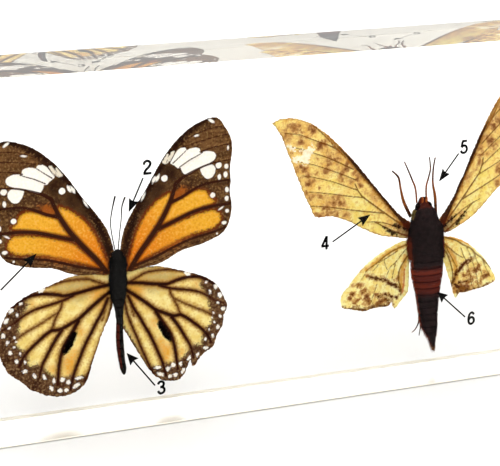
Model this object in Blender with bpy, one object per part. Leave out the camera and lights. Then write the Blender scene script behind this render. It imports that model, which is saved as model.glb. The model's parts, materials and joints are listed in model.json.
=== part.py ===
"""A butterfly and a hawk moth with spread wings, cast in a clear rectangular resin block.

Run with blender --background --python part.py, or from the text editor.
Metres, +Z up. The origin is at the middle of the block's base, and the front face looks toward -Y.
"""

import math

import bmesh
import bpy

MM = 0.001

# The block, in millimetres
BLOCK_LENGTH = 155.0
BLOCK_THICKNESS = 24.0
BLOCK_HEIGHT = 75.0
BLOCK_EDGE = 0.5
BLOCK_EDGE_SEGMENTS = 2
CUTTER_OVERSHOOT = 5.0

# The insects' plane, and the gap at which the block is parted there
WING_PLANE_Y = 8.0
PARTING_GAP = 0.3
FOREWING_Y = WING_PLANE_Y - 0.4
HINDWING_Y = WING_PLANE_Y + 0.4
WING_THICKNESS = 0.35
LIMB_Y = 7.7

# The pocket is a shallow slot round each insect's outline, with a hollow for its body. The slot's edge
# is a star: one corner for each of these directions from the thorax.
SLOT_DEPTH = 2.0
SLOT_CLEARANCE = 0.8
SLOT_DIRECTIONS = 72
OUTLINE_STEP = 0.4
BODY_CLEARANCE = 0.4
LIMB_CLEARANCE = 0.35

# How finely the curves are drawn
SPAN_STEPS = 2
BODY_SIDES = 16
LIMB_SIDES = 6
BODY_SHARP_DEGREES = 50
LIMB_SHARP_DEGREES = 70

# The butterfly. Its wings are measured sideways from its own axis, and upward from the block's base.
BUTTERFLY_AXIS_X = -42.0
BUTTERFLY_THORAX = (BUTTERFLY_AXIS_X, 30.0)
BUTTERFLY_BODY_Y = 7.4
BUTTERFLY_FOREWING_PIVOT = (1.5, 31.0)
LEFT_FOREWING_DROP = -3.7
BUTTERFLY_FOREWING = [
    (2.3, 31.2), (1.7, 34.6), (1.8, 36.6), (2.4, 40.0), (4.2, 44.0), (6.0, 46.8), (7.8, 50.0),
    (9.7, 53.0), (12.0, 56.0), (15.4, 59.0), (18.6, 60.6), (21.0, 61.2), (22.6, 60.6), (23.8, 58.8),
    (24.8, 57.0), (25.3, 54.5), (25.0, 52.0), (24.7, 49.5), (24.9, 47.2), (24.6, 45.2), (25.0, 42.8),
    (25.0, 41.0), (24.5, 38.6), (23.2, 36.4), (21.0, 35.2), (18.0, 34.2), (14.0, 33.4), (11.0, 31.9),
    (8.5, 30.9), (5.0, 30.6),
]
# The right hindwing is worn along its lower edge, with a tear.
BUTTERFLY_HINDWING_RIGHT = [
    (2.4, 29.6), (4.5, 30.2), (7.0, 30.5), (10.0, 30.1), (12.5, 29.3), (16.0, 28.1), (19.0, 26.9),
    (21.7, 25.0), (23.1, 22.6), (24.2, 19.9), (23.4, 17.6), (23.1, 15.4), (21.8, 13.4), (20.9, 10.9),
    (18.8, 9.8), (17.4, 8.2), (16.7, 7.2), (15.9, 7.3), (15.6, 8.7), (15.2, 7.6), (14.4, 5.8),
    (13.3, 4.6), (11.5, 4.4), (9.2, 4.9), (7.2, 6.5), (5.6, 9.2), (4.0, 12.5), (2.5, 16.0),
    (1.4, 18.8), (1.5, 21.0), (2.0, 23.6), (2.4, 26.0),
]
BUTTERFLY_HINDWING_LEFT = [
    (2.4, 29.6), (4.7, 30.2), (7.3, 30.5), (10.5, 30.1), (13.1, 29.3), (16.8, 28.1), (20.0, 26.9),
    (22.9, 25.0), (24.4, 22.6), (25.5, 19.9), (25.9, 17.2), (25.6, 14.8), (24.8, 12.6), (23.7, 10.6),
    (21.5, 8.9), (19.5, 6.8), (17.0, 5.4), (14.8, 4.5), (12.0, 4.3), (9.6, 4.9), (7.5, 6.4),
    (6.6, 8.6), (6.0, 10.6), (5.2, 13.2), (4.3, 16.2), (3.4, 18.8), (2.7, 21.0), (2.2, 23.6),
    (2.4, 26.0),
]
BUTTERFLY_ANTENNA_LEFT = [(-42.6, 35.7), (-43.2, 38.5), (-43.4, 41.0), (-43.0, 43.6), (-42.3, 46.4)]
BUTTERFLY_ANTENNA_RIGHT = [(-41.9, 35.7), (-41.5, 38.5), (-41.1, 41.5), (-40.9, 44.0), (-40.2, 46.0)]

# A body section is its height, the X of its middle, its half width and its half depth.
BUTTERFLY_BODY = [
    (35.1, -42.1, 0.35, 0.4), (34.6, -42.15, 1.0, 1.0), (33.8, -42.2, 1.15, 1.2),
    (33.2, -42.15, 1.5, 1.6), (31.5, -42.15, 1.8, 2.1), (28.5, -42.15, 1.85, 2.2),
    (26.0, -42.15, 1.75, 2.0), (24.2, -42.15, 1.4, 1.7), (22.0, -42.05, 0.95, 1.4),
    (19.5, -42.0, 0.72, 1.4), (16.0, -42.1, 0.82, 1.5), (13.5, -42.0, 0.84, 1.4),
    (11.0, -41.75, 0.72, 1.2), (9.0, -41.45, 0.72, 1.0), (8.1, -41.35, 0.5, 0.7),
    (7.6, -41.3, 0.2, 0.25),
]

# The moth, measured in the same way
MOTH_AXIS_X = 28.5
MOTH_THORAX = (MOTH_AXIS_X, 31.0)
MOTH_BODY_Y = 6.9
MOTH_FOREWING_PIVOT = (4.8, 32.0)
RIGHT_FOREWING_RISE = 16.0
MOTH_FOREWING = [
    (4.9, 30.6), (4.5, 33.6), (5.9, 35.3), (8.5, 38.3), (11.5, 41.8), (14.5, 45.5), (18.5, 50.2),
    (23.5, 55.2), (27.5, 58.1), (30.5, 59.3), (33.5, 59.7), (35.3, 59.3), (36.5, 58.7), (35.6, 57.8),
    (34.2, 55.6), (33.0, 52.4), (31.8, 49.5), (30.4, 45.8), (28.8, 42.0), (27.6, 39.6), (26.5, 37.4),
    (24.5, 37.2), (22.5, 37.2), (18.5, 35.6), (16.0, 34.1), (13.0, 32.5), (10.5, 31.5), (7.5, 30.9),
]
MOTH_HINDWING_LEFT = [
    (4.9, 29.5), (7.5, 29.0), (11.5, 27.0), (15.2, 24.3), (18.0, 21.0), (19.6, 19.3), (20.0, 17.8),
    (19.8, 16.3), (19.0, 15.6), (16.5, 15.0), (14.0, 14.4), (12.0, 14.9), (9.6, 14.9), (8.2, 15.1),
    (7.8, 15.8), (7.4, 14.8), (6.9, 14.2), (6.3, 14.8), (5.4, 16.5), (4.8, 17.6), (4.7, 20.0),
    (4.7, 22.5), (4.8, 26.0),
]
MOTH_HINDWING_RIGHT = [
    (5.0, 29.5), (8.2, 29.0), (11.0, 27.4), (13.0, 25.7), (15.0, 23.7), (16.6, 21.4), (17.8, 19.4),
    (18.1, 18.0), (16.2, 17.0), (13.8, 16.5), (11.0, 16.0), (9.4, 16.0), (8.9, 15.7), (8.3, 14.9),
    (7.7, 15.6), (7.2, 17.0), (6.6, 19.0), (6.0, 21.4), (5.4, 24.2), (5.0, 27.0),
]
MOTH_BODY = [
    (39.5, 27.4, 0.6, 0.6), (39.0, 27.4, 1.0, 1.0), (38.0, 27.6, 1.35, 1.5), (37.0, 27.8, 2.2, 2.0),
    (36.0, 27.9, 2.9, 2.5), (34.5, 28.0, 3.15, 3.0), (33.0, 28.4, 3.9, 3.4), (31.0, 28.3, 4.2, 3.6),
    (28.0, 28.5, 4.3, 3.6), (25.0, 28.8, 4.05, 3.4), (22.0, 28.85, 3.95, 3.2), (20.0, 28.95, 3.55, 3.0),
    (17.5, 29.1, 3.0, 2.7), (14.5, 29.25, 2.6, 2.4), (11.5, 29.4, 2.35, 2.1), (9.6, 29.7, 2.15, 1.8),
    (8.2, 30.1, 1.6, 1.4), (6.6, 30.5, 0.95, 0.9), (4.8, 30.8, 0.55, 0.5), (3.6, 31.0, 0.25, 0.25),
]
MOTH_ANTENNA_LEFT = [(25.9, 39.6), (25.8, 41.4), (24.9, 43.6), (24.0, 45.6), (23.0, 47.7)]
MOTH_ANTENNA_RIGHT = [(28.6, 40.1), (28.4, 41.6), (28.9, 43.6), (29.3, 45.6), (29.0, 48.2)]
MOTH_FORELEG_LEFT = [(24.2, 36.0), (23.1, 38.6), (22.3, 41.4), (21.8, 43.9), (21.2, 44.9), (20.1, 45.9)]
MOTH_FORELEG_RIGHT = [(31.3, 36.6), (30.6, 39.2), (30.0, 42.2), (30.0, 45.4), (30.4, 48.0)]

MOTH_HINDLEG_LEFT = [(28.4, 17.0), (28.3, 14.4), (28.1, 12.0), (27.7, 9.9), (27.0, 8.6), (26.2, 8.0)]
MOTH_HINDLEG_RIGHT = [(29.5, 17.0), (29.2, 14.2), (28.8, 11.6), (28.4, 9.6), (28.2, 8.2), (28.0, 7.0)]

ANTENNA_RADIUS = 0.17
LEG_RADIUS = 0.22

# A hind leg lies along the back of the abdomen, this far off it, and stays behind the parting gap.
HINDLEG_STAND_OFF = LEG_RADIUS + 0.35
HINDLEG_LEAST_Y = WING_PLANE_Y + 1.2


def clear_scene():
    """Remove every object of the scene that the script starts in."""
    for obj in list(bpy.data.objects):
        bpy.data.objects.remove(obj, do_unlink=True)


def make_material(name, colour, roughness, transmission=0.0):
    """Return a Principled material of one colour."""
    material = bpy.data.materials.new(name)
    material.use_nodes = True
    shader = material.node_tree.nodes["Principled BSDF"]
    shader.inputs["Base Color"].default_value = (*colour, 1.0)
    shader.inputs["Roughness"].default_value = roughness
    shader.inputs["Metallic"].default_value = 0.0
    shader.inputs["Transmission Weight"].default_value = transmission
    return material


def link_mesh(name, bm, material=None):
    """Turn a bmesh into a named object with its faces pointing out."""
    bmesh.ops.recalc_face_normals(bm, faces=bm.faces[:])
    mesh = bpy.data.meshes.new(name)
    bm.to_mesh(mesh)
    bm.free()
    obj = bpy.data.objects.new(name, mesh)
    bpy.context.scene.collection.objects.link(obj)
    if material is not None:
        mesh.materials.append(material)
    return obj


def hide_cutter(obj):
    """Mark an object as a cutter, which is no piece of the model."""
    obj.hide_render = True
    obj.display_type = "WIRE"
    return obj


def curve_through(points, closed):
    """Return points on a Catmull-Rom curve through the given points, of any dimension."""
    count = len(points)
    spans = count if closed else count - 1
    result = []
    for i in range(spans):
        before = points[(i - 1) % count] if closed else points[max(i - 1, 0)]
        start = points[i]
        end = points[(i + 1) % count]
        after = points[(i + 2) % count] if closed else points[min(i + 2, count - 1)]
        for step in range(SPAN_STEPS):
            t = step / SPAN_STEPS
            result.append(tuple(
                0.5 * (2 * b + (c - a) * t + (2 * a - 5 * b + 4 * c - d) * t * t
                       + (3 * b - a - 3 * c + d) * t ** 3)
                for a, b, c, d in zip(before, start, end, after)
            ))
    if not closed:
        result.append(tuple(points[-1]))
    return result


def star_outline(paths, centre):
    """Return a star-shaped outline that goes round all the given paths with a clearance."""
    sector = math.tau / SLOT_DIRECTIONS
    reach = [0.0] * SLOT_DIRECTIONS
    for path in paths:
        for (x0, z0), (x1, z1) in zip(path, path[1:]):
            steps = max(1, math.ceil(math.hypot(x1 - x0, z1 - z0) / OUTLINE_STEP))
            for step in range(steps + 1):
                x = x0 + (x1 - x0) * step / steps - centre[0]
                z = z0 + (z1 - z0) * step / steps - centre[1]
                direction = round(math.atan2(z, x) / sector) % SLOT_DIRECTIONS
                reach[direction] = max(reach[direction], math.hypot(x, z))
    outline = []
    for k in range(SLOT_DIRECTIONS):
        widest = max(reach[k - 1], reach[k], reach[(k + 1) % SLOT_DIRECTIONS])
        radius = (widest + SLOT_CLEARANCE) / math.cos(sector / 2)
        outline.append((centre[0] + radius * math.cos(k * sector), centre[1] + radius * math.sin(k * sector)))
    return outline


def place_wing(outline, axis_x, side, pivot=(0.0, 0.0), turn=0.0):
    """Turn a wing about its pivot and set it left (-1) or right (1) of the axis."""
    cosine = math.cos(math.radians(turn))
    sine = math.sin(math.radians(turn))
    placed = []
    for across, up in outline:
        dx = across - pivot[0]
        dz = up - pivot[1]
        x = pivot[0] + dx * cosine - dz * sine
        z = pivot[1] + dx * sine + dz * cosine
        placed.append((axis_x + side * x, z))
    return placed


def plate(name, outline, middle_y, thickness, material=None):
    """Make a flat plate in the XZ plane from an outline in millimetres."""
    bm = bmesh.new()
    front = middle_y - thickness / 2
    corners = [bm.verts.new((x * MM, front * MM, z * MM)) for x, z in outline]
    face = bm.faces.new(corners)
    extruded = bmesh.ops.extrude_face_region(bm, geom=[face])
    moved = [item for item in extruded["geom"] if isinstance(item, bmesh.types.BMVert)]
    bmesh.ops.translate(bm, verts=moved, vec=(0.0, thickness * MM, 0.0))
    return link_mesh(name, bm, material)


def bridge_rings(bm, rings):
    """Join a row of rings of vertices into one closed skin."""
    for lower, upper in zip(rings, rings[1:]):
        count = len(lower)
        for i in range(count):
            j = (i + 1) % count
            bm.faces.new((lower[i], lower[j], upper[j], upper[i]))
    bm.faces.new(rings[0])
    bm.faces.new(rings[-1])


def body(name, sections, middle_y, grow=0.0, material=None):
    """Make a body from its oval sections, each grown by the same margin."""
    bm = bmesh.new()
    rings = []
    last = len(sections) - 1
    for index, (height, middle_x, half_width, half_depth) in enumerate(sections):
        lift = grow if index == 0 else -grow if index == last else 0.0
        ring = []
        for k in range(BODY_SIDES):
            angle = math.tau * k / BODY_SIDES
            x = middle_x + (half_width + grow) * math.cos(angle)
            y = middle_y + (half_depth + grow) * math.sin(angle)
            ring.append(bm.verts.new((x * MM, y * MM, (height + lift) * MM)))
        rings.append(ring)
    bridge_rings(bm, rings)
    obj = link_mesh(name, bm, material)
    obj.data.shade_smooth()
    obj.data.set_sharp_from_angle(angle=math.radians(BODY_SHARP_DEGREES))
    return obj


def limb(name, points, radius, grow=0.0, material=None):
    """Make a thin tube along a curve through points (X, Y, Z) in millimetres."""
    path = curve_through(points, closed=False)
    bm = bmesh.new()
    rings = []
    last = len(path) - 1
    for index, (x, y, z) in enumerate(path):
        x0, _, z0 = path[max(index - 1, 0)]
        x1, _, z1 = path[min(index + 1, last)]
        length = math.hypot(x1 - x0, z1 - z0)
        along = ((x1 - x0) / length, (z1 - z0) / length)
        push = -grow if index == 0 else grow if index == last else 0.0
        ring = []
        for k in range(LIMB_SIDES):
            angle = math.tau * k / LIMB_SIDES
            across = (radius + grow) * math.cos(angle)
            deep = (radius + grow) * math.sin(angle)
            ring.append(bm.verts.new((
                (x + along[0] * push + along[1] * across) * MM,
                (y + deep) * MM,
                (z + along[1] * push - along[0] * across) * MM,
            )))
        rings.append(ring)
    bridge_rings(bm, rings)
    obj = link_mesh(name, bm, material)
    obj.data.shade_smooth()
    obj.data.set_sharp_from_angle(angle=math.radians(LIMB_SHARP_DEGREES))
    return obj


def at_limb_plane(points):
    """Give points (X, Z) the depth at which antennae and forelegs lie."""
    return [(x, LIMB_Y, z) for x, z in points]


def section_at(sections, height):
    """Return a body's middle X, half width and half depth at a height between two of its sections."""
    for upper, lower in zip(sections, sections[1:]):
        if lower[0] <= height <= upper[0]:
            share = (height - lower[0]) / (upper[0] - lower[0])
            return [low + share * (high - low) for low, high in zip(lower[1:], upper[1:])]
    raise ValueError(f"no section at {height} mm")


def along_the_back(points, sections, middle_y):
    """Give points (X, Z) the depth at which a leg lies along the back of a body."""
    placed = []
    for x, z in points:
        middle_x, half_width, half_depth = section_at(sections, z)
        aside = (x - middle_x) / (half_width + HINDLEG_STAND_OFF)
        share = math.sqrt(max(1.0 - aside * aside, 0.0))
        surface_y = middle_y + share * (half_depth + HINDLEG_STAND_OFF)
        placed.append((x, max(surface_y, HINDLEG_LEAST_Y), z))
    return placed


def make_wing(name, outline, middle_y, material):
    """Make a wing and return the closed path of its edge."""
    edge = curve_through(outline, closed=True)
    plate(name, edge, middle_y, WING_THICKNESS, material)
    return edge + edge[:1]


def make_body(name, sections, middle_y, material):
    """Make a body. Return the cutter for its hollow, and the paths of its two sides."""
    body(name, sections, middle_y, material=material)
    hollow = hide_cutter(body(f"{name}_hollow", sections, middle_y, grow=BODY_CLEARANCE))
    sides = [[(x + side * width, z) for z, x, width, _ in sections] for side in (-1, 1)]
    return hollow, sides


def make_limb(name, points, radius, material):
    """Make an antenna or a leg and return its path."""
    limb(name, points, radius, material=material)
    return [(x, z) for x, _, z in points]


def make_slot(name, paths, centre):
    """Make the cutter for the slot round an insect."""
    return hide_cutter(plate(f"{name}_slot", star_outline(paths, centre), WING_PLANE_Y, SLOT_DEPTH))


def make_butterfly():
    """Make the butterfly and return the cutters for its pocket."""
    scales = make_material("butterfly_wing_scales", (0.62, 0.27, 0.03), 0.7)
    pale_scales = make_material("butterfly_pale_scales", (0.74, 0.56, 0.16), 0.7)
    cuticle = make_material("butterfly_black_cuticle", (0.012, 0.011, 0.012), 0.6)
    axis = BUTTERFLY_AXIS_X
    fore_left = place_wing(BUTTERFLY_FOREWING, axis, -1, BUTTERFLY_FOREWING_PIVOT, LEFT_FOREWING_DROP)
    fore_right = place_wing(BUTTERFLY_FOREWING, axis, 1)
    hind_left = place_wing(BUTTERFLY_HINDWING_LEFT, axis, -1)
    hind_right = place_wing(BUTTERFLY_HINDWING_RIGHT, axis, 1)
    left_antenna = at_limb_plane(BUTTERFLY_ANTENNA_LEFT)
    right_antenna = at_limb_plane(BUTTERFLY_ANTENNA_RIGHT)
    hollow, sides = make_body("butterfly_body", BUTTERFLY_BODY, BUTTERFLY_BODY_Y, cuticle)
    paths = sides + [
        make_wing("butterfly_forewing_left", fore_left, FOREWING_Y, scales),
        make_wing("butterfly_forewing_right", fore_right, FOREWING_Y, scales),
        make_wing("butterfly_hindwing_left", hind_left, HINDWING_Y, pale_scales),
        make_wing("butterfly_hindwing_right", hind_right, HINDWING_Y, pale_scales),
        make_limb("butterfly_antenna_left", left_antenna, ANTENNA_RADIUS, cuticle),
        make_limb("butterfly_antenna_right", right_antenna, ANTENNA_RADIUS, cuticle),
    ]
    return [hollow, make_slot("butterfly", paths, BUTTERFLY_THORAX)]


def make_moth():
    """Make the moth. Return the cutters for its pocket, and those for the back half alone."""
    scales = make_material("moth_amber_scales", (0.58, 0.33, 0.05), 0.75)
    pale_scales = make_material("moth_pale_scales", (0.72, 0.55, 0.20), 0.75)
    fur = make_material("moth_dark_fur", (0.020, 0.012, 0.010), 0.85)
    horn = make_material("moth_brown_horn", (0.085, 0.035, 0.020), 0.6)
    axis = MOTH_AXIS_X
    fore_left = place_wing(MOTH_FOREWING, axis, -1)
    fore_right = place_wing(MOTH_FOREWING, axis, 1, MOTH_FOREWING_PIVOT, RIGHT_FOREWING_RISE)
    hind_left = place_wing(MOTH_HINDWING_LEFT, axis, -1)
    hind_right = place_wing(MOTH_HINDWING_RIGHT, axis, 1)
    hollow, sides = make_body("moth_body", MOTH_BODY, MOTH_BODY_Y, fur)
    paths = sides + [
        make_wing("moth_forewing_left", fore_left, FOREWING_Y, scales),
        make_wing("moth_forewing_right", fore_right, FOREWING_Y, scales),
        make_wing("moth_hindwing_left", hind_left, HINDWING_Y, pale_scales),
        make_wing("moth_hindwing_right", hind_right, HINDWING_Y, pale_scales),
        make_limb("moth_antenna_left", at_limb_plane(MOTH_ANTENNA_LEFT), ANTENNA_RADIUS, horn),
        make_limb("moth_antenna_right", at_limb_plane(MOTH_ANTENNA_RIGHT), ANTENNA_RADIUS, horn),
        make_limb("moth_foreleg_left", at_limb_plane(MOTH_FORELEG_LEFT), LEG_RADIUS, horn),
        make_limb("moth_foreleg_right", at_limb_plane(MOTH_FORELEG_RIGHT), LEG_RADIUS, horn),
    ]
    channels = []
    hindlegs = {"moth_hindleg_left": MOTH_HINDLEG_LEFT, "moth_hindleg_right": MOTH_HINDLEG_RIGHT}
    for name, points in hindlegs.items():
        route = along_the_back(points, MOTH_BODY, MOTH_BODY_Y)
        paths.append(make_limb(name, route, LEG_RADIUS, horn))
        channels.append(hide_cutter(limb(f"{name}_channel", route, LEG_RADIUS, grow=LIMB_CLEARANCE)))
    return [hollow, make_slot("moth", paths, MOTH_THORAX)], channels


def box(name, low, high, material=None):
    """Make a box between two corners in millimetres."""
    bm = bmesh.new()
    bmesh.ops.create_cube(bm, size=1.0)
    for vert in bm.verts:
        for axis in range(3):
            share = vert.co[axis] + 0.5
            vert.co[axis] = (low[axis] + share * (high[axis] - low[axis])) * MM
    return link_mesh(name, bm, material)


def subtract(obj, cutter):
    """Cut one object out of another with a Boolean modifier."""
    modifier = obj.modifiers.new(f"cut_{cutter.name}", "BOOLEAN")
    modifier.operation = "DIFFERENCE"
    modifier.solver = "EXACT"
    modifier.object = cutter


def make_block_half(name, away_low_y, away_high_y, pockets, material):
    """Make the bevelled block, cut away the other half, then cut the pocket."""
    half_length = BLOCK_LENGTH / 2
    half_thickness = BLOCK_THICKNESS / 2
    obj = box(
        name,
        (-half_length, -half_thickness, 0.0),
        (half_length, half_thickness, BLOCK_HEIGHT),
        material,
    )
    bevel = obj.modifiers.new("edges", "BEVEL")
    bevel.width = BLOCK_EDGE * MM
    bevel.segments = BLOCK_EDGE_SEGMENTS
    over = CUTTER_OVERSHOOT
    away = box(
        f"{name}_away",
        (-half_length - over, away_low_y, -over),
        (half_length + over, away_high_y, BLOCK_HEIGHT + over),
    )
    subtract(obj, hide_cutter(away))
    for pocket in pockets:
        subtract(obj, pocket)


def make_block(pockets, channels):
    """Make the two halves of the clear block. The hind legs' channels are in the back half alone."""
    resin = make_material("clear_cast_resin", (0.97, 0.98, 0.97), 0.02, transmission=1.0)
    outside = BLOCK_THICKNESS
    make_block_half("block_front", WING_PLANE_Y - PARTING_GAP / 2, outside, pockets, resin)
    make_block_half("block_back", -outside, WING_PLANE_Y + PARTING_GAP / 2, pockets + channels, resin)


def main():
    clear_scene()
    butterfly_pocket = make_butterfly()
    moth_pocket, channels = make_moth()
    make_block(butterfly_pocket + moth_pocket, channels)


main()
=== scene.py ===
# %% [markdown]
# A teaching specimen: a butterfly and a hawk moth with spread wings, cast in a clear block of resin that
# stands on its long narrow side. Plain numbers with arrows point at the parts to compare.
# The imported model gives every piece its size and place. This script builds the looks around it: wing
# scales, veins, fur, ink and resin. It starts by loading that model and keeping its box.

import json
import math
import random

import bmesh
import bpy
import numpy as np
from mathutils import Matrix, Vector, noise
from mathutils.geometry import delaunay_2d_cdt

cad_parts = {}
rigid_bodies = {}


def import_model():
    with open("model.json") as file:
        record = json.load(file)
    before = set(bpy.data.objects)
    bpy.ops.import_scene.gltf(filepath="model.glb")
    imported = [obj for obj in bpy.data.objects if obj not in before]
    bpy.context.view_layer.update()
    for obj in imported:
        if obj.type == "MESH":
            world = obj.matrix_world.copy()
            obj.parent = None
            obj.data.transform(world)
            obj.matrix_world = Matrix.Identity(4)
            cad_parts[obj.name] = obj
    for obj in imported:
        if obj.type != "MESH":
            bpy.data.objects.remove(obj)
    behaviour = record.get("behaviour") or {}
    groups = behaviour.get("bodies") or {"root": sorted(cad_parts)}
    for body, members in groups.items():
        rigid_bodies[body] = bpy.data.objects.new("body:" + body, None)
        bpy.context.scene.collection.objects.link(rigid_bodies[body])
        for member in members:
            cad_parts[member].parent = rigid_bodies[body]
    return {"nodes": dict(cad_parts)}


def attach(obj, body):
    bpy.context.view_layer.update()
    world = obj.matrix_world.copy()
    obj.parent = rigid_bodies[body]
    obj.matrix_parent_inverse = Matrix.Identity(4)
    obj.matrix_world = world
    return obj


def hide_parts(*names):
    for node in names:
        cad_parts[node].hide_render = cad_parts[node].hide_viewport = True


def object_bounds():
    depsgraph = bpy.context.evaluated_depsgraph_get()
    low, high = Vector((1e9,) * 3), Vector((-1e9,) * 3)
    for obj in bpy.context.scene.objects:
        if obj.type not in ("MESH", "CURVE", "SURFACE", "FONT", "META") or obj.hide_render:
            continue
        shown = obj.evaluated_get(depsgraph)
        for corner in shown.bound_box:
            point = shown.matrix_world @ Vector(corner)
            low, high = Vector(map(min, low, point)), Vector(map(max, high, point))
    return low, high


for leftover in list(bpy.data.objects):
    bpy.data.objects.remove(leftover)
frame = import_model()
cad_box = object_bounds()
nodes = frame["nodes"]
MM = 0.001
print("CAD box, mm:", [round(value / MM, 1) for corner in cad_box for value in corner])

# %% [markdown]
# Blender's sockets want linear colour, but colours are easiest to pick and to write as sRGB hex values.
# One function turns one into the other. A second one adds a node to a material: its settings are the
# node's own properties, and its inputs are either numbers or the sockets to link from. It returns an
# output socket, so that one node can be handed straight to the next. The rest do what every piece needs:
# they join rings of corners into a skin, finish its mesh and put it in the scene on the part's body.

# %% Colour, node and piece helpers
MIX_A, MIX_B, MIX_COLOUR = 6, 7, 2
SHADER_A, SHADER_B = 1, 2


def linear(hex_code):
    """Turn an sRGB hex colour into linear red, green, blue and alpha."""
    channels = [int(hex_code[start:start + 2], 16) / 255 for start in (1, 3, 5)]
    return (*(c / 12.92 if c <= 0.04045 else ((c + 0.055) / 1.055) ** 2.4 for c in channels), 1.0)


def add(tree, kind, settings, inputs, output=0):
    """Add a node with its settings and inputs, and return one of its output sockets."""
    made = tree.nodes.new(f"ShaderNode{kind}")
    for name, value in settings.items():
        setattr(made, name, value)
    for name, value in inputs.items():
        if isinstance(value, bpy.types.NodeSocket):
            tree.links.new(value, made.inputs[name])
        else:
            made.inputs[name].default_value = value
    return made.outputs[output] if len(made.outputs) else made


def new_material(name):
    """Return a new material with an empty node tree, and the tree."""
    material = bpy.data.materials.new(name)
    material.use_nodes = True
    material.node_tree.nodes.clear()
    return material, material.node_tree


def skin_rings(bm, rings):
    """Join a row of rings of corners into one closed skin."""
    bm.faces.new(rings[0][::-1])
    for ring, following in zip(rings, rings[1:]):
        for k in range(len(ring)):
            bm.faces.new((ring[k - 1], ring[k], following[k], following[k - 1]))
    bm.faces.new(rings[-1])


def finished_mesh(bm, name):
    """Turn a bmesh into a mesh."""
    mesh = bpy.data.meshes.new(name)
    bm.to_mesh(mesh)
    bm.free()
    return mesh


def place_object(name, data):
    """Put an object with this data in the scene."""
    made = bpy.data.objects.new(name, data)
    bpy.context.scene.collection.objects.link(made)
    return made


def link_piece(name, mesh, material, node_names=()):
    """Put a mesh in the scene as a piece of the object that rides on the part's one body."""
    piece = place_object(name, mesh)
    mesh.materials.append(material)
    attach(piece, "root")
    if node_names:
        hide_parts(*node_names)


# %% [markdown]
# The camera stands where the photographer's did: in front of the block, a little to its left and above
# it, with a long lens. Its place, tilt and turn were fitted to the lines that the block's edges make in
# the photograph.

# %% Camera
CAMERA_PLACE = (-147.9, -343.3, 144.3)
CAMERA_TILT = 73.559
CAMERA_TURN = -21.484
LENS = 131.04
SENSOR_WIDTH = 36.0
NEAREST_SEEN = 10.0

camera_data = bpy.data.cameras.new("camera")
camera_data.lens = LENS
camera_data.sensor_width = SENSOR_WIDTH
camera_data.clip_start = NEAREST_SEEN * MM
camera = place_object("camera", camera_data)
camera.location = [value * MM for value in CAMERA_PLACE]
camera.rotation_euler = (math.radians(CAMERA_TILT), 0.0, math.radians(CAMERA_TURN))
bpy.context.scene.camera = camera
print("camera at", CAMERA_PLACE, "mm, lens", LENS, "mm")

# %% [markdown]
# The studio is high-key: a pale card below, and white light from all round. Light from everywhere suits
# a clear block best, because it reaches what is sealed in it only through its faces. The world is
# brightest overhead and dimmer toward the horizon, as in a room with a white tent over the table. One
# large softbox in front lights the scales, and one behind makes the thin wings glow. Places and sizes of
# the floor and the lamps are in metres, all others in this script in millimetres.

# %% Studio
FLOOR_SIZE = 6.0
FLOOR_DROP = 0.15 * MM
HORIZON_LIGHT = 0.82
ZENITH_LIGHT = 2.2
LAMPS = {
    "front_softbox": {"place": (-0.2, -1.1, 0.9), "size": 1.3, "power": 26.0},
    "back_softbox": {"place": (0.2, 1.0, 0.9), "size": 1.0, "power": 12.0},
}


def white_card():
    """Matt white card: a little rough and very slightly uneven in tone."""
    material, tree = new_material("white_card")
    grain = add(tree, "TexNoise", {}, {"Scale": 6.0, "Detail": 2.0})
    tone = add(tree, "Mix", {"data_type": "RGBA"},
               {0: grain, MIX_A: linear("#BCBCBB"), MIX_B: linear("#B7B7B6")}, MIX_COLOUR)
    surface = add(tree, "BsdfPrincipled", {}, {"Base Color": tone, "Roughness": 0.85})
    add(tree, "OutputMaterial", {}, {"Surface": surface})
    return material


def make_floor():
    """A wide card just under the block's base."""
    bm = bmesh.new()
    bmesh.ops.create_grid(bm, x_segments=1, y_segments=1, size=FLOOR_SIZE / 2)
    mesh = finished_mesh(bm, "floor")
    mesh.materials.append(white_card())
    floor = place_object("floor", mesh)
    floor.location.z = -FLOOR_DROP


def make_lamp(name, place, size, power):
    """A square softbox that points at the block."""
    data = bpy.data.lights.new(name, "AREA")
    data.size = size
    data.energy = power
    lamp = place_object(name, data)
    lamp.location = place
    lamp.rotation_euler = Vector(place).to_track_quat("Z", "Y").to_euler()


def make_world():
    """A white tent of light: dim at the horizon, brightest overhead."""
    world = bpy.data.worlds.new("white_tent")
    world.use_nodes = True
    tree = world.node_tree
    tree.nodes.clear()
    way = add(tree, "TexCoord", {}, {}, "Generated")
    height = add(tree, "SeparateXYZ", {}, {"Vector": way}, "Z")
    light = add(tree, "MapRange", {"interpolation_type": "SMOOTHSTEP"},
                {"Value": height, "To Min": HORIZON_LIGHT, "To Max": ZENITH_LIGHT})
    sky = add(tree, "Background", {}, {"Color": linear("#FFFEFC"), "Strength": light})
    add(tree, "OutputWorld", {}, {"Surface": sky})
    bpy.context.scene.world = world


make_world()
bpy.context.scene.view_settings.view_transform = "Standard"
make_floor()
for lamp_name, facts in LAMPS.items():
    make_lamp(lamp_name, **facts)
print("floor", FLOOR_SIZE, "m across, lamps:", ", ".join(LAMPS))

# %% [markdown]
# The block is taken for one casting of clear polyester resin. In CAD it is parted in two so that the
# insects can lie in pockets, but light would show that gap. So one closed piece replaces both halves: a
# box with finely rounded edges. Such a block is poured in layers, and the hairline round this one is
# taken for the place where two meet. A shallow groove, cut as a loop of real faces, draws it. The faces
# are polished. The base and the narrow rounded edges are shown as a grinding belt leaves them, which is
# a guess: they scatter light and look creamy white, so the base mirrors almost nothing.
# The polished front would mirror the white room, as real resin does. That veil greys what is dark in the
# block, and when the render has few samples it leaves fine dots on the fur. So a black specular tint
# takes the mirror image off a face that is met head on, as a photographer's polarising filter can, and
# leaves the shine of one met at a slant.

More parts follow.
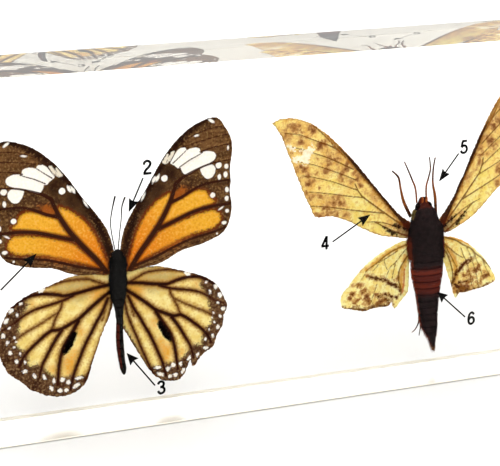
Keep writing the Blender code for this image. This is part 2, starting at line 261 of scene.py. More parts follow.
# %% Resin block
RESIN_IOR = 1.54
RESIN_EDGE = 0.5
EDGE_SEGMENTS = 3
CORNER_DEGREES = 80
SHARP_DEGREES = 8
POUR_LINE_Y = 5.3
POUR_LINE_WIDTH = 0.10
POUR_LINE_DEPTH = 0.03
GROUND_SLOT = 1
FACING_DOWN = -0.9


def cast_resin(name, colour, roughest, clear):
    """Cast resin with the faint warm tint that polyester takes with age: clear, or white where ground."""
    material, tree = new_material(name)
    polish = add(tree, "TexNoise", {}, {"Scale": 220.0, "Detail": 1.0})
    rough = add(tree, "MapRange", {}, {"Value": polish, "To Min": 0.6 * roughest, "To Max": roughest})
    surface = add(tree, "BsdfPrincipled", {}, {
        "Base Color": linear(colour), "Roughness": rough, "IOR": RESIN_IOR,
        "Transmission Weight": clear, "Specular Tint": (0.0, 0.0, 0.0, 1.0),
    })
    tint = add(tree, "VolumeAbsorption", {}, {"Color": linear("#F4EFDC"), "Density": 0.9})
    add(tree, "OutputMaterial", {}, {"Surface": surface, "Volume": tint})
    return material


def ring_of_box(bm, y, inset):
    """Add four corners of the block's outline at a depth, drawn in by an inset."""
    low, high = cad_box
    corners = [(low.x + inset, low.z + inset), (high.x - inset, low.z + inset),
               (high.x - inset, high.z - inset), (low.x + inset, high.z - inset)]
    return [bm.verts.new((x, y, z)) for x, z in corners]


def make_block():
    """Build the block as rings of corners from front to back, with ground edges and a ground base."""
    low, high = cad_box
    half_line = POUR_LINE_WIDTH / 2
    stations = [
        (low.y, 0.0), ((POUR_LINE_Y - half_line) * MM, 0.0), (POUR_LINE_Y * MM, POUR_LINE_DEPTH * MM),
        ((POUR_LINE_Y + half_line) * MM, 0.0), (high.y, 0.0),
    ]
    bm = bmesh.new()
    skin_rings(bm, [ring_of_box(bm, y, inset) for y, inset in stations])
    bmesh.ops.recalc_face_normals(bm, faces=bm.faces[:])
    outer = [edge for edge in bm.edges if edge.calc_face_angle() > math.radians(CORNER_DEGREES)]
    bmesh.ops.bevel(bm, geom=outer, offset=RESIN_EDGE * MM, segments=EDGE_SEGMENTS, profile=0.5,
                    affect="EDGES", material=GROUND_SLOT)
    bm.normal_update()
    for face in bm.faces:
        if face.normal.z < FACING_DOWN:
            face.material_index = GROUND_SLOT
    mesh = finished_mesh(bm, "resin_block")
    mesh.shade_smooth()
    mesh.set_sharp_from_angle(angle=math.radians(SHARP_DEGREES))
    polished = cast_resin("polished_polyester_resin", "#FFFFFF", roughest=0.01, clear=1.0)
    link_piece("resin_block", mesh, polished, ("block_front", "block_back"))
    mesh.materials.append(cast_resin("ground_polyester_resin", "#E4E0D4", roughest=0.4, clear=0.2))
    print("resin_block:", len(mesh.polygons), "faces")


make_block()

# %% [markdown]
# Everything on a wing follows from where a point lies on it: how far from a vein, inside which patch of
# colour, how near the edge. So the helpers here measure distances in millimetres. A distance is signed
# where it matters: below zero inside a patch. The shaders then turn distances into colour with soft or
# crisp edges, which stays sharp however near the camera comes.

# %% Distance helpers
FAR = 1e6
TINY = 1e-9


def part_way(value, full):
    """How far a value has come from zero to its full size, from 0 to 1."""
    return np.clip(value / full, 0, 1)


def loop_of(path):
    """Return a path that comes back to its first point."""
    return np.vstack([path, path[:1]])


def point_distance(points, place):
    """Distance from each point to one place."""
    return np.linalg.norm(points - np.array(place), axis=1)


def curve_through(points, closed=True, steps=5):
    """Return points on a smooth Catmull-Rom curve through the given points."""
    given = np.array(points, float)
    if closed:
        ends = np.vstack([given[-1:], given, given[:2]])
    else:
        ends = np.vstack([given[:1], given, given[-1:]])
    result = []
    for before, start, end, after in zip(ends, ends[1:], ends[2:], ends[3:]):
        for step in range(steps):
            t = step / steps
            result.append(0.5 * (2 * start + (end - before) * t
                                 + (2 * before - 5 * start + 4 * end - after) * t ** 2
                                 + (3 * start - before - 3 * end + after) * t ** 3))
    if not closed:
        result.append(given[-1])
    return np.array(result)


def path_distance(points, path, half_widths=(0.0, 0.0)):
    """Distance from each point to a path, less the path's half width, which runs from start to end."""
    path = np.array(path, float)
    widths = np.interp(np.linspace(0, 1, len(path)), np.linspace(0, 1, len(half_widths)), half_widths)
    best = np.full(len(points), FAR)
    for start, end, wide, wide_end in zip(path, path[1:], widths, widths[1:]):
        along = end - start
        share = np.clip((points - start) @ along / max(along @ along, TINY), 0, 1)
        gap = np.linalg.norm(points - start - share[:, None] * along, axis=1)
        best = np.minimum(best, gap - wide - share * (wide_end - wide))
    return best


def is_inside(points, outline):
    """True for each point inside a closed outline."""
    x, z = points[:, 0], points[:, 1]
    result = np.zeros(len(points), bool)
    for (x0, z0), (x1, z1) in zip(outline, np.roll(outline, -1, axis=0)):
        crossing = (z0 > z) != (z1 > z)
        result ^= crossing & (x < x0 + (z - z0) / ((z1 - z0) or TINY) * (x1 - x0))
    return result


# %% [markdown]
# Four kinds of mark make up every pattern: patches with a smooth outline, oval spots, veins, and soft
# clouds. Each has its own list of points or sizes and its own function.

# %% Pattern helpers
def patch_distance(points, patches):
    """Signed distance to the nearest of some patches, each a smooth outline: below zero inside."""
    best = np.full(len(points), FAR)
    for patch in patches:
        outline = curve_through(patch)
        gap = path_distance(points, loop_of(outline))
        best = np.minimum(best, np.where(is_inside(points, outline), -gap, gap))
    return best


def spot_distance(points, spots):
    """Signed distance to the nearest oval spot. A spot is X, Z, half width, half height and tilt."""
    best = np.full(len(points), FAR)
    for x, z, wide, high, tilt in spots:
        turn = math.radians(tilt)
        dx = (points[:, 0] - x) * math.cos(turn) + (points[:, 1] - z) * math.sin(turn)
        dz = (points[:, 1] - z) * math.cos(turn) - (points[:, 0] - x) * math.sin(turn)
        best = np.minimum(best, (np.hypot(dx / wide, dz / high) - 1) * min(wide, high))
    return best


def vein_distance(points, veins):
    """Distance to the nearest vein's edge. A vein is two half widths and the points it runs through."""
    best = np.full(len(points), FAR)
    for start_width, end_width, route in veins:
        smooth = curve_through(route, closed=False, steps=3)
        best = np.minimum(best, path_distance(points, smooth, (start_width, end_width)))
    return best


def cloud(points, puffs):
    """Sum of soft round puffs. A puff is X, Z, its radius and its strength."""
    total = np.zeros(len(points))
    for x, z, radius, strength in puffs:
        total += strength * np.exp(-((points[:, 0] - x) ** 2 + (points[:, 1] - z) ** 2) / (2 * radius ** 2))
    return total


# %% [markdown]
# A wing is a thin membrane on a fan of veins. Its outline is read from its CAD node, so that the two
# agree. Its root is then drawn in under the body, and its edge is frayed a little, as wear leaves it.

# %% Wing outline
FRAY = 0.10
ROOT_REACH = 7.0
ROOT_TUCK = 1.3


def node_outline(name):
    """Read the ordered outline of a plate-like CAD node's front face, in millimetres, and its middle Y."""
    mesh = nodes[name].data
    corners = np.array([vertex.co for vertex in mesh.vertices]) / MM
    middle_y = (corners[:, 1].min() + corners[:, 1].max()) / 2
    keys = [tuple(np.round(corner[[0, 2]], 3)) for corner in corners]
    onward = {}
    for polygon in mesh.polygons:
        if all(corners[i, 1] < middle_y for i in polygon.vertices):
            ring = [keys[i] for i in polygon.vertices]
            for start, end in zip(ring, ring[1:] + ring[:1]):
                onward[(start, end)] = True
    edges = {start: end for start, end in onward if (end, start) not in onward}
    outline = [next(iter(edges))]
    while edges[outline[-1]] != outline[0]:
        outline.append(edges[outline[-1]])
    return np.array(outline), middle_y


def tuck_root(outline, axis_x, spread):
    """Draw a wing's root in under the body, and spread it down (below zero) or up to meet the other wing."""
    side = np.sign(outline[:, 0].mean() - axis_x)
    across = side * (outline[:, 0] - axis_x)
    near = np.clip((ROOT_REACH - across) / (ROOT_REACH - across.min()), 0, 1) ** 2
    heights = outline[near > 0, 1]
    share = np.clip((outline[:, 1] - heights.min()) / np.ptp(heights), 0, 1)
    moved = outline.copy()
    moved[:, 0] -= side * ROOT_TUCK * near
    moved[:, 1] += spread * near * (share if spread > 0 else 1 - share)
    return moved


def even_edge(outline, step, fray, seed):
    """Put a point every step along a closed outline, each drawn in a little by a frayed margin."""
    draw = random.Random(seed)
    result = []
    for start, end in zip(outline, np.roll(outline, -1, axis=0)):
        length = np.linalg.norm(end - start)
        inward = np.array([start[1] - end[1], end[0] - start[0]]) / max(length, TINY)
        count = max(1, round(length / step))
        for k in range(count):
            result.append(start + (end - start) * k / count + inward * fray * draw.random() ** 2)
    return np.array(result)


# %% [markdown]
# The inside of the outline is filled with an even net of small triangles, fine enough to raise the veins
# as real ridges and to carry the distances. A front and a back sheet with a thin rim between them make
# a closed body. The membrane sags a little between its veins and the whole wing is slightly arched.

# %% Wing builder
NET_STEP = 0.30
NET_CLEARANCE = 0.45 * NET_STEP
KEEP_INSIDE = 1
SAME_POINT = 1e-5
MEMBRANE = 0.09
RIM = 0.04
RIM_REACH = 0.5
VEIN_RIDGE = 0.10
RIDGE_REACH = 0.22
RIDGE_FADE = 0.6
SAG = 0.07
SAG_REACH = 1.2


def fill_net(edge):
    """Fill a closed edge with an even net of triangles. Return the points and the triangles."""
    low, high = edge.min(axis=0), edge.max(axis=0)
    columns = np.arange(low[0], high[0], NET_STEP)
    rows = np.arange(low[1], high[1], NET_STEP * math.sqrt(3) / 2)
    grid = np.array([(x + (NET_STEP / 2) * (k % 2), z) for k, z in enumerate(rows) for x in columns])
    grid = grid[is_inside(grid, edge)]
    clear = path_distance(grid, loop_of(edge))
    grid = grid[clear > NET_CLEARANCE]
    points = [Vector(point) for point in np.vstack([edge, grid])]
    loop = [(k, (k + 1) % len(edge)) for k in range(len(edge))]
    filled = delaunay_2d_cdt(points, loop, [], KEEP_INSIDE, SAME_POINT)
    return np.array([tuple(point) for point in filled[0]]), [tuple(face) for face in filled[2]]


def wing_mesh(name, points, triangles, y_front, y_back, fields):
    """Make a closed wing from its net: a front and a back sheet, and a rim between them."""
    count = len(points)
    front = np.column_stack([points[:, 0], y_front, points[:, 1]]) * MM
    back = np.column_stack([points[:, 0], y_back, points[:, 1]]) * MM
    sides = {(face[k - 1], face[k]) for face in triangles for k in range(3)}
    border = [(start, end) for start, end in sides if (end, start) not in sides]
    faces = list(triangles)
    faces += [tuple(count + k for k in reversed(face)) for face in triangles]
    faces += [(end, start, start + count, end + count) for start, end in border]
    mesh = bpy.data.meshes.new(name)
    mesh.from_pydata(np.vstack([front, back]).tolist(), [], faces)
    for field, values in fields.items():
        layer = mesh.attributes.new(field, "FLOAT", "POINT")
        layer.data.foreach_set("value", np.concatenate([values, values]).astype(np.float32))
    mesh.shade_smooth()
    return mesh


def make_wing(name, material, axis_x, to_pattern, pattern, arch, fray, spread):
    """Build one wing from its CAD node and its pattern's fields. It arches, and its root spreads."""
    outline, middle_y = node_outline(name)
    edge = even_edge(tuck_root(outline, axis_x, spread), NET_STEP, fray, name)
    points, triangles = fill_net(edge)
    fields = pattern(to_pattern(points))
    rim = path_distance(points, loop_of(edge))
    fields["rim"] = rim
    off_vein = np.maximum(fields["vein"], 0)
    ridge = np.exp(-(off_vein / RIDGE_REACH) ** 2)
    slack = SAG * (1 - np.exp(-off_vein / SAG_REACH))
    reach = point_distance(points, points[np.argmin(fields["root"])])
    bow = arch * np.sin(math.pi * reach / reach.max())
    half = RIM / 2 + (MEMBRANE - RIM) / 2 * part_way(rim, RIM_REACH)
    swell = VEIN_RIDGE * ridge * part_way(rim, RIDGE_FADE)
    middle = middle_y + bow + slack
    mesh = wing_mesh(name, points, triangles, middle - half - swell, middle + half + swell / 2, fields)
    link_piece(f"{name}_scaled", mesh, material, (name,))
    print(f"{name}: {len(points)} net points, {len(mesh.polygons)} faces")


# %% [markdown]
# The colour of a wing is laid on as a painter would: a ground colour first, then one layer after the
# other, each showing where a field is below its edge value. Real scales never end on a ruled line, so a
# little noise shakes each edge. That noise is about as coarse as a few rows of scales, 0.3 to 0.5 mm;
# single scales are 0.1 mm, finer than the picture can show. Resin bends light almost as chitin does, so
# whatever is sealed in it has lost the shine it has in air: its specular level is zero.

# %% Painting helpers
NOISE_LOW, NOISE_HIGH = 0.3, 0.7


def read_field(tree, name):
    """Read one of the distances stored on a wing."""
    return add(tree, "Attribute", {"attribute_name": name}, {}, "Fac")


def scale_noise(tree, size_mm, stretch=(1.0, 1.0, 1.0), detail=3.0):
    """Noise whose lumps are about size_mm across, in the block's own space."""
    place = add(tree, "TexCoord", {}, {}, "Object")
    per_metre = 1.0 / (size_mm * MM)
    scaled = add(tree, "Mapping", {}, {"Vector": place, "Scale": [per_metre * s for s in stretch]})
    return add(tree, "TexNoise", {}, {"Vector": scaled, "Scale": 1.0, "Detail": detail})


def paint(tree, below, colour, field, full, none, shake=0.0, grain=None, strength=1.0):
    """Lay a colour over another: fully where the field is at full, not at all where it is at none."""
    if grain is not None:
        shift = add(tree, "MapRange", {}, {"Value": grain, "From Min": NOISE_LOW, "From Max": NOISE_HIGH,
                                           "To Min": -shake, "To Max": shake})
        field = add(tree, "Math", {"operation": "ADD"}, {0: field, 1: shift})
    cover = add(tree, "MapRange", {"interpolation_type": "SMOOTHSTEP"},
                {"Value": field, "From Min": none, "From Max": full, "To Min": 0.0, "To Max": strength})
    top = colour if isinstance(colour, bpy.types.NodeSocket) else linear(colour)
    return add(tree, "Mix", {"data_type": "RGBA"}, {0: cover, MIX_A: below, MIX_B: top}, MIX_COLOUR)


def ramp(tree, value, low, high, colour_low, colour_high):
    """A colour that runs from one to another as a value goes from low to high."""
    share = add(tree, "MapRange", {}, {"Value": value, "From Min": low, "From Max": high})
    return add(tree, "Mix", {"data_type": "RGBA"},
               {0: share, MIX_A: linear(colour_low), MIX_B: linear(colour_high)}, MIX_COLOUR)


def finish_wing(tree, colour, grain, glow):
    """Close a wing's shader: matt scales, tiny bumps, and a share of light that passes through."""
    bump = add(tree, "Bump", {}, {"Height": grain, "Strength": 0.25, "Distance": 0.05 * MM})
    scales = add(tree, "BsdfPrincipled", {}, {"Base Color": colour, "Roughness": 0.9, "Normal": bump,
                                              "Specular IOR Level": 0.0})
    through = add(tree, "BsdfTranslucent", {}, {"Color": colour, "Normal": bump})
    surface = add(tree, "MixShader", {}, {0: glow, SHADER_A: scales, SHADER_B: through})
    add(tree, "OutputMaterial", {}, {"Surface": surface})


# %% [markdown]
# The butterfly is a tiger-patterned milkweed butterfly. Its forewing has three orange cells between
# black veins, a brown-black tip with a slanting band of white windows, and small white spots along the
# outer edge. The lists below trace the right wing, in millimetres on the insects' plane: X to the right
# of the block's middle, Z up from its base. The left wing mirrors it and hangs a little lower.

# %% Butterfly forewing pattern
BUTTERFLY_AXIS_X = -42.0
FOREWING_ROOT = (-40.0, 31.5)
FOREWING_ORANGE = [
    [(-40.0, 30.6), (-39.7, 33.0), (-38.9, 36.0), (-37.9, 38.8), (-36.4, 41.6), (-34.4, 43.9),
     (-32.4, 45.4), (-30.5, 46.2), (-30.3, 45.0), (-31.5, 42.7), (-33.0, 40.2), (-34.8, 37.6),
     (-36.8, 34.8), (-39.0, 31.6)],
    [(-32.5, 39.4), (-31.4, 41.7), (-30.1, 43.9), (-28.5, 44.8), (-26.5, 45.7), (-24.6, 46.2),
     (-22.9, 46.0), (-22.1, 45.2), (-21.6, 44.2), (-20.3, 43.3), (-21.5, 42.6), (-24.0, 42.0),
     (-27.0, 41.1), (-29.5, 40.2)],
    [(-38.8, 31.1), (-37.0, 33.6), (-35.0, 36.0), (-33.0, 38.1), (-30.5, 39.2), (-28.0, 40.1),
     (-25.0, 41.0), (-22.5, 41.5), (-20.4, 41.4), (-19.3, 40.2), (-19.4, 38.7), (-21.0, 37.4),
     (-23.5, 36.9), (-26.0, 36.4), (-28.5, 35.6), (-31.0, 34.6), (-34.0, 33.3), (-36.5, 32.2)],
]
FOREWING_RUST = [
    (-28.2, 46.1, 0.9, 1.0), (-29.3, 45.2, 0.6, 0.8), (-29.5, 35.2, 1.2, 0.7), (-32.0, 34.2, 1.2, 0.6),
    (-26.5, 36.0, 1.0, 0.5), (-39.6, 31.6, 1.4, 0.9), (-21.4, 44.6, 0.8, 0.4), (-26.2, 46.7, 0.8, 0.35),
]
FOREWING_VEINS = [
    (0.50, 0.38, [(-39.4, 30.6), (-37.5, 33.6), (-35.8, 35.8), (-34.0, 38.2), (-32.6, 40.2),
                  (-31.4, 42.4), (-30.4, 44.6), (-29.7, 46.5), (-29.3, 48.0)]),
    (0.34, 0.30, [(-33.2, 38.6), (-31.0, 39.4), (-28.5, 40.4), (-25.5, 41.5), (-22.0, 42.2), (-17.2, 42.5)]),
    (0.34, 0.18, [(-30.4, 44.0), (-28.0, 44.9), (-26.0, 46.0), (-24.0, 46.9), (-21.5, 47.4), (-17.2, 47.6)]),
    (0.40, 0.10, [(-29.4, 47.8), (-28.0, 48.9), (-26.8, 49.5), (-24.5, 50.5), (-22.0, 51.3), (-17.0, 52.0)]),
    (0.28, 0.20, [(-39.2, 31.0), (-36.0, 31.9), (-33.0, 33.0), (-30.0, 34.3), (-27.0, 35.4),
                  (-24.0, 36.1), (-21.0, 36.7), (-18.6, 37.4)]),
    (0.10, 0.12, [(-24.0, 54.1), (-22.0, 54.6), (-20.0, 55.0), (-16.9, 55.3)]),
    (0.08, 0.10, [(-28.0, 55.3), (-25.5, 56.0), (-21.0, 56.9), (-17.2, 57.4)]),
    (0.08, 0.10, [(-29.5, 55.0), (-26.5, 57.2), (-22.0, 58.8), (-18.4, 59.2)]),
    (0.10, 0.08, [(-40.0, 30.2), (-36.0, 31.0), (-32.0, 32.2), (-28.0, 33.9), (-24.0, 35.2)]),
    (0.12, 0.10, [(-28.4, 51.3), (-26.2, 52.6), (-24.8, 53.2), (-23.4, 53.9)]),
    (0.12, 0.09, [(-29.9, 52.2), (-28.2, 53.6), (-26.9, 54.7)]),
    (0.10, 0.09, [(-30.6, 52.3), (-30.0, 53.3), (-29.3, 54.5)]),
    (0.05, 0.05, [(-31.3, 52.3), (-30.7, 54.2)]),
]
FOREWING_WHITE = [
    [(-30.4, 52.5), (-29.9, 53.4), (-29.3, 54.2), (-28.5, 55.0), (-27.7, 55.3), (-27.1, 55.1),
     (-26.9, 54.6), (-26.0, 54.9), (-25.0, 55.0), (-24.2, 54.8), (-23.9, 54.2), (-24.0, 53.7),
     (-23.0, 54.0), (-21.8, 54.0), (-20.8, 53.6), (-20.5, 52.9), (-21.0, 52.1), (-22.4, 51.5),
     (-24.0, 50.9), (-25.6, 50.1), (-26.8, 49.6), (-27.5, 50.0), (-27.9, 50.6), (-28.1, 51.2),
     (-28.8, 51.2), (-29.3, 51.7), (-29.8, 52.0)],
    [(-23.8, 50.6), (-23.5, 49.5), (-22.8, 48.6), (-22.0, 48.3), (-21.2, 48.7), (-20.6, 49.8),
     (-20.9, 50.8), (-21.6, 51.2), (-22.7, 51.0)],
]
FOREWING_FAINT = [
    [(-32.1, 52.4), (-31.7, 53.3), (-30.9, 54.3), (-30.7, 53.4), (-31.1, 52.3)],
    [(-30.7, 52.7), (-30.5, 54.0), (-29.8, 54.8), (-29.5, 54.4), (-30.1, 53.4)],
]
FOREWING_SPOTS = [
    (-31.7, 49.2, 0.6, 0.6, 0), (-33.2, 49.4, 0.24, 0.62, -25), (-34.0, 49.1, 0.22, 0.6, -25),
    (-36.3, 45.8, 0.13, 0.6, -28), (-21.3, 60.4, 0.55, 0.22, -32), (-19.8, 50.9, 0.58, 0.58, 0),
    (-19.7, 48.4, 0.3, 0.48, 0), (-18.1, 50.5, 0.38, 0.45, 0), (-18.3, 48.8, 0.38, 0.52, 0),
    (-18.0, 45.5, 0.32, 0.48, 0), (-18.1, 43.6, 0.34, 0.45, 0), (-21.2, 44.6, 0.48, 0.48, 0),
    (-18.0, 40.9, 0.34, 0.34, 0), (-18.7, 38.4, 0.45, 0.3, 0), (-24.6, 57.6, 0.4, 0.15, 10),
    (-20.3, 36.2, 0.18, 0.18, 0), (-19.4, 41.6, 0.42, 0.12, 32), (-17.7, 54.4, 0.14, 0.3, 0),
]
# The lighter cloud: the scales' own paler brown along the inner edge, and at the tip a painted glow where
# light comes through thin scales.
FOREWING_SHEER_AND_GLOW = [
    (-20.0, 58.2, 2.6, 0.50), (-23.5, 57.0, 2.0, 0.50), (-26.4, 56.4, 1.0, 0.80), (-21.0, 55.9, 1.8, 0.65),
    (-18.6, 53.5, 1.6, 0.60), (-18.8, 49.5, 1.6, 0.35), (-19.0, 45.2, 1.4, 0.40), (-18.4, 40.5, 1.4, 0.45),
    (-22.5, 48.0, 2.2, 0.30), (-21.8, 35.9, 1.6, 0.55), (-26.5, 34.6, 1.8, 0.80), (-31.0, 32.6, 2.0, 0.95),
    (-35.5, 31.0, 2.0, 1.00), (-38.5, 30.2, 1.4, 0.80),
]
FOREWING_COSTA = [(-41.2, 30.0), (-40.6, 34.0), (-39.6, 38.2), (-38.2, 42.0), (-36.2, 46.0), (-33.8, 50.0),
                  (-30.6, 54.4), (-27.0, 58.1), (-23.6, 60.4), (-21.0, 61.3)]
FOREWING_SHADE = [
    (-33.6, 47.2, 2.0, 0.8), (-36.0, 43.9, 1.3, 0.6), (-30.9, 50.9, 1.2, 0.9), (-29.6, 49.6, 1.0, 0.5),
]


def forewing_fields(points):
    """The butterfly forewing's distances, in millimetres, its clouds of shade and rust, and a lighter cloud
    that is partly paler scales and partly painted glow.
    """
    return {
        "orange": patch_distance(points, FOREWING_ORANGE),
        "vein": vein_distance(points, FOREWING_VEINS),
        "white": np.minimum(patch_distance(points, FOREWING_WHITE), spot_distance(points, FOREWING_SPOTS)),
        "faint": patch_distance(points, FOREWING_FAINT),
        "sheer_and_glow": cloud(points, FOREWING_SHEER_AND_GLOW),
        "shade": cloud(points, FOREWING_SHADE),
        "rust": cloud(points, FOREWING_RUST),
        "costa": path_distance(points, FOREWING_COSTA),
        "root": point_distance(points, FOREWING_ROOT),
    }


# %% [markdown]
# Scales on this wing: the orange glows warmest near the body and turns golden outward, and each cell has a
# rusty rim. A lighter brown lies along the inner edge, where it is the scales' own colour, and between the
# veins at the tip, where it is painted glow: the light that comes through thin scales there. The white
# windows have hardly any scales at all.

# %% Butterfly forewing scales
def forewing_scales():
    """Orange, brown-black and white wing scales, matt like fine powder."""
    material, tree = new_material("butterfly_forewing_scales")
    fine = scale_noise(tree, 0.5, detail=4.0)
    coarse = scale_noise(tree, 1.8)
    streaks = scale_noise(tree, 1.0, (0.45, 1.0, 1.3))
    root = read_field(tree, "root")
    costa = read_field(tree, "costa")
    orange = read_field(tree, "orange")
    white = read_field(tree, "white")
    vein = read_field(tree, "vein")
    ground = ramp(tree, coarse, 0.38, 0.62, "#4C3220", "#624428")
    ground = paint(tree, ground, "#9C7646", fine, 0.64, 0.54, strength=0.5)
    ground = paint(tree, ground, "#281910", fine, 0.36, 0.46, strength=0.55)
    # Lighter brown for the lighter cloud: paler scales along the inner edge, and painted glow between the
    # veins at the tip.
    thin = ramp(tree, streaks, 0.38, 0.62, "#5C3E24", "#7E5834")
    thin = paint(tree, thin, "#AC8450", fine, 0.64, 0.54, strength=0.5)
    thin = paint(tree, thin, "#382416", fine, 0.36, 0.46, strength=0.5)
    colour = paint(tree, ground, thin, read_field(tree, "sheer_and_glow"), 0.75, 0.12, 0.2, fine, 0.95)
    colour = paint(tree, colour, "#2C1810", read_field(tree, "shade"), 1.0, 0.3, 0.4, fine, 0.8)
    colour = paint(tree, colour, "#26140D", costa, 0.2, 1.3, 0.35, fine, 0.9)
    colour = paint(tree, colour, "#74300F", orange, -0.1, 0.7, 0.2, fine, 0.9)
    colour = paint(tree, colour, "#AD5C1E", read_field(tree, "rust"), 0.9, 0.25, 0.3, fine, 0.8)
    cell = ramp(tree, root, 3.0, 17.0, "#E2801C", "#EEB638")
    cell = paint(tree, cell, "#F4C862", fine, 0.64, 0.52, strength=0.5)
    cell = paint(tree, cell, "#C87C1E", fine, 0.36, 0.48, strength=0.3)
    cell = paint(tree, cell, "#8A3C0E", vein, -0.05, 0.5, 0.2, fine, 0.85)
    colour = paint(tree, colour, cell, orange, -0.75, 0.05, 0.3, fine)
    colour = paint(tree, colour, "#4A1C0E", vein, -0.22, 0.08, 0.04, fine, 0.97)
    colour = paint(tree, colour, "#240D08", vein, -0.34, -0.06, 0.03, fine, 0.9)
    colour = paint(tree, colour, "#F0E8D6", read_field(tree, "faint"), -0.1, 0.15, 0.12, fine, 0.95)
    colour = paint(tree, colour, ramp(tree, fine, 0.3, 0.7, "#FFFDF8", "#F6F1E6"), white,
                   0.0, 0.18, 0.05, fine)
    colour = paint(tree, colour, "#3C2014", vein, -0.02, 0.08, 0.02, fine, 0.95)
    finish_wing(tree, colour, fine, 0.30)
    return material


# %% [markdown]
# The hindwing is pale straw yellow with strong dark veins, a dark border with two rows of white dots,
# and one black scent patch, the mark of a male. Its lower edge is worn, and torn in one place.

# %% Butterfly hindwing pattern
HINDWING_ROOT = (-40.0, 26.5)
HINDWING_VEINS = [
    (0.22, 0.18, [(-39.7, 27.5), (-37.6, 28.5), (-36.0, 29.2), (-33.8, 29.4), (-31.0, 29.3),
                  (-29.0, 28.9), (-27.4, 28.5), (-25.0, 27.7), (-23.4, 27.0)]),
    (0.42, 0.40, [(-40.2, 27.5), (-37.6, 27.2), (-35.0, 26.7), (-33.0, 26.4), (-31.2, 26.2), (-29.8, 26.6),
                  (-28.0, 27.0), (-26.0, 27.2), (-24.0, 26.9), (-22.6, 26.2), (-20.8, 25.0)]),
    (0.34, 0.26, [(-33.0, 26.1), (-31.0, 25.3), (-29.0, 24.8), (-27.0, 24.4), (-25.0, 23.9), (-23.0, 23.0),
                  (-21.0, 21.6), (-18.6, 20.4)]),
    (0.20, 0.18, [(-30.7, 25.2), (-30.5, 24.0), (-29.9, 22.8), (-29.2, 21.4), (-28.7, 20.0), (-28.4, 19.2)]),
    (0.42, 0.42, [(-40.2, 25.9), (-38.4, 24.6), (-36.4, 23.0), (-35.0, 21.8), (-33.8, 20.8), (-32.2, 20.0),
                  (-31.0, 19.4), (-29.8, 19.0), (-28.4, 19.1)]),
    (0.13, 0.20, [(-29.9, 22.9), (-28.0, 21.8), (-26.4, 20.9), (-25.0, 20.2), (-23.0, 19.2), (-21.4, 18.2),
                  (-19.4, 17.2)]),
    (0.40, 0.34, [(-28.4, 19.1), (-27.0, 18.2), (-25.8, 17.2), (-24.4, 16.0), (-23.2, 14.8), (-22.2, 13.4),
                  (-21.6, 12.0)]),
    (0.42, 0.30, [(-30.4, 18.8), (-29.4, 17.4), (-28.2, 15.4), (-27.0, 13.2), (-26.2, 11.6), (-25.6, 9.0)]),
    (0.46, 0.34, [(-33.8, 20.4), (-32.8, 18.6), (-31.8, 17.0), (-30.8, 15.4), (-30.2, 13.8), (-29.8, 12.0),
                  (-29.5, 10.0), (-29.2, 7.0)]),
    (0.36, 0.36, [(-39.9, 24.6), (-38.6, 21.6), (-37.4, 19.6), (-36.4, 17.6), (-35.4, 15.8), (-34.4, 13.6),
                  (-33.6, 11.6), (-32.8, 9.6), (-32.2, 7.6), (-31.8, 5.6)]),
    (0.22, 0.30, [(-40.8, 24.6), (-40.3, 21.6), (-39.7, 19.4), (-38.8, 17.0), (-38.0, 15.0), (-37.2, 12.8),
                  (-36.4, 10.8), (-35.6, 8.8), (-34.8, 7.0)]),
    (0.08, 0.12, [(-39.4, 22.6), (-39.1, 21.4), (-38.6, 20.0)]),
    (0.12, 0.12, [(-30.9, 8.2), (-30.4, 6.6), (-30.1, 4.8)]),
]
HINDWING_PALE = [
    [(-40.9, 30.6), (-37.0, 30.4), (-33.0, 30.2), (-29.6, 29.1), (-27.6, 28.4), (-26.0, 27.8),
     (-24.4, 27.0), (-23.6, 26.2), (-23.9, 25.0), (-23.2, 23.8), (-22.3, 22.2), (-22.0, 20.6),
     (-21.9, 19.0), (-21.2, 17.6), (-21.9, 15.9), (-23.2, 15.2), (-23.5, 13.8), (-23.8, 11.9),
     (-25.4, 12.0), (-26.6, 10.9), (-28.3, 9.2), (-29.4, 9.0), (-30.6, 8.4), (-32.2, 8.8), (-33.0, 8.2),
     (-34.6, 8.4), (-35.5, 8.2), (-36.4, 9.6), (-38.0, 12.8), (-39.6, 16.0), (-41.2, 19.2),
     (-41.6, 24.0)],
]
HINDWING_PATCH = [
    [(-33.5, 17.8), (-33.2, 16.8), (-32.7, 15.6), (-32.1, 14.6), (-31.3, 13.8), (-30.6, 13.4),
     (-30.5, 14.2), (-31.0, 15.4), (-31.9, 16.9), (-32.8, 18.2)],
]
HINDWING_SPOTS = [
    (-26.7, 27.9, 0.62, 0.38, -18), (-20.5, 24.3, 0.36, 0.56, 28), (-19.5, 22.3, 0.4, 0.6, 25),
    (-18.8, 19.2, 0.42, 0.46, 0), (-19.5, 17.6, 0.26, 0.42, 20), (-20.0, 15.3, 0.36, 0.48, -20),
    (-21.2, 13.3, 0.28, 0.46, 0), (-22.8, 10.9, 0.52, 0.36, 10), (-24.7, 9.6, 0.28, 0.52, -25),
    (-26.6, 9.1, 0.3, 0.55, -25), (-28.0, 6.4, 0.32, 0.56, -20), (-28.5, 8.0, 0.32, 0.48, 0),
    (-29.7, 5.7, 0.46, 0.42, 0), (-30.2, 8.0, 0.46, 0.48, 0), (-30.9, 5.6, 0.4, 0.38, 0),
    (-31.4, 7.3, 0.42, 0.5, 0), (-33.0, 6.3, 0.75, 0.4, -30), (-33.6, 7.9, 0.7, 0.32, -5),
    (-22.5, 25.6, 0.32, 0.32, 0), (-21.7, 23.3, 0.26, 0.4, 0), (-20.0, 20.7, 0.3, 0.3, 0),
    (-21.0, 18.5, 0.26, 0.26, 0), (-21.3, 17.5, 0.22, 0.22, 0), (-20.8, 16.4, 0.24, 0.24, 0),
    (-22.9, 12.9, 0.24, 0.34, 0), (-26.0, 28.0, 0.16, 0.1, -20), (-22.0, 14.9, 0.18, 0.3, 0),
]
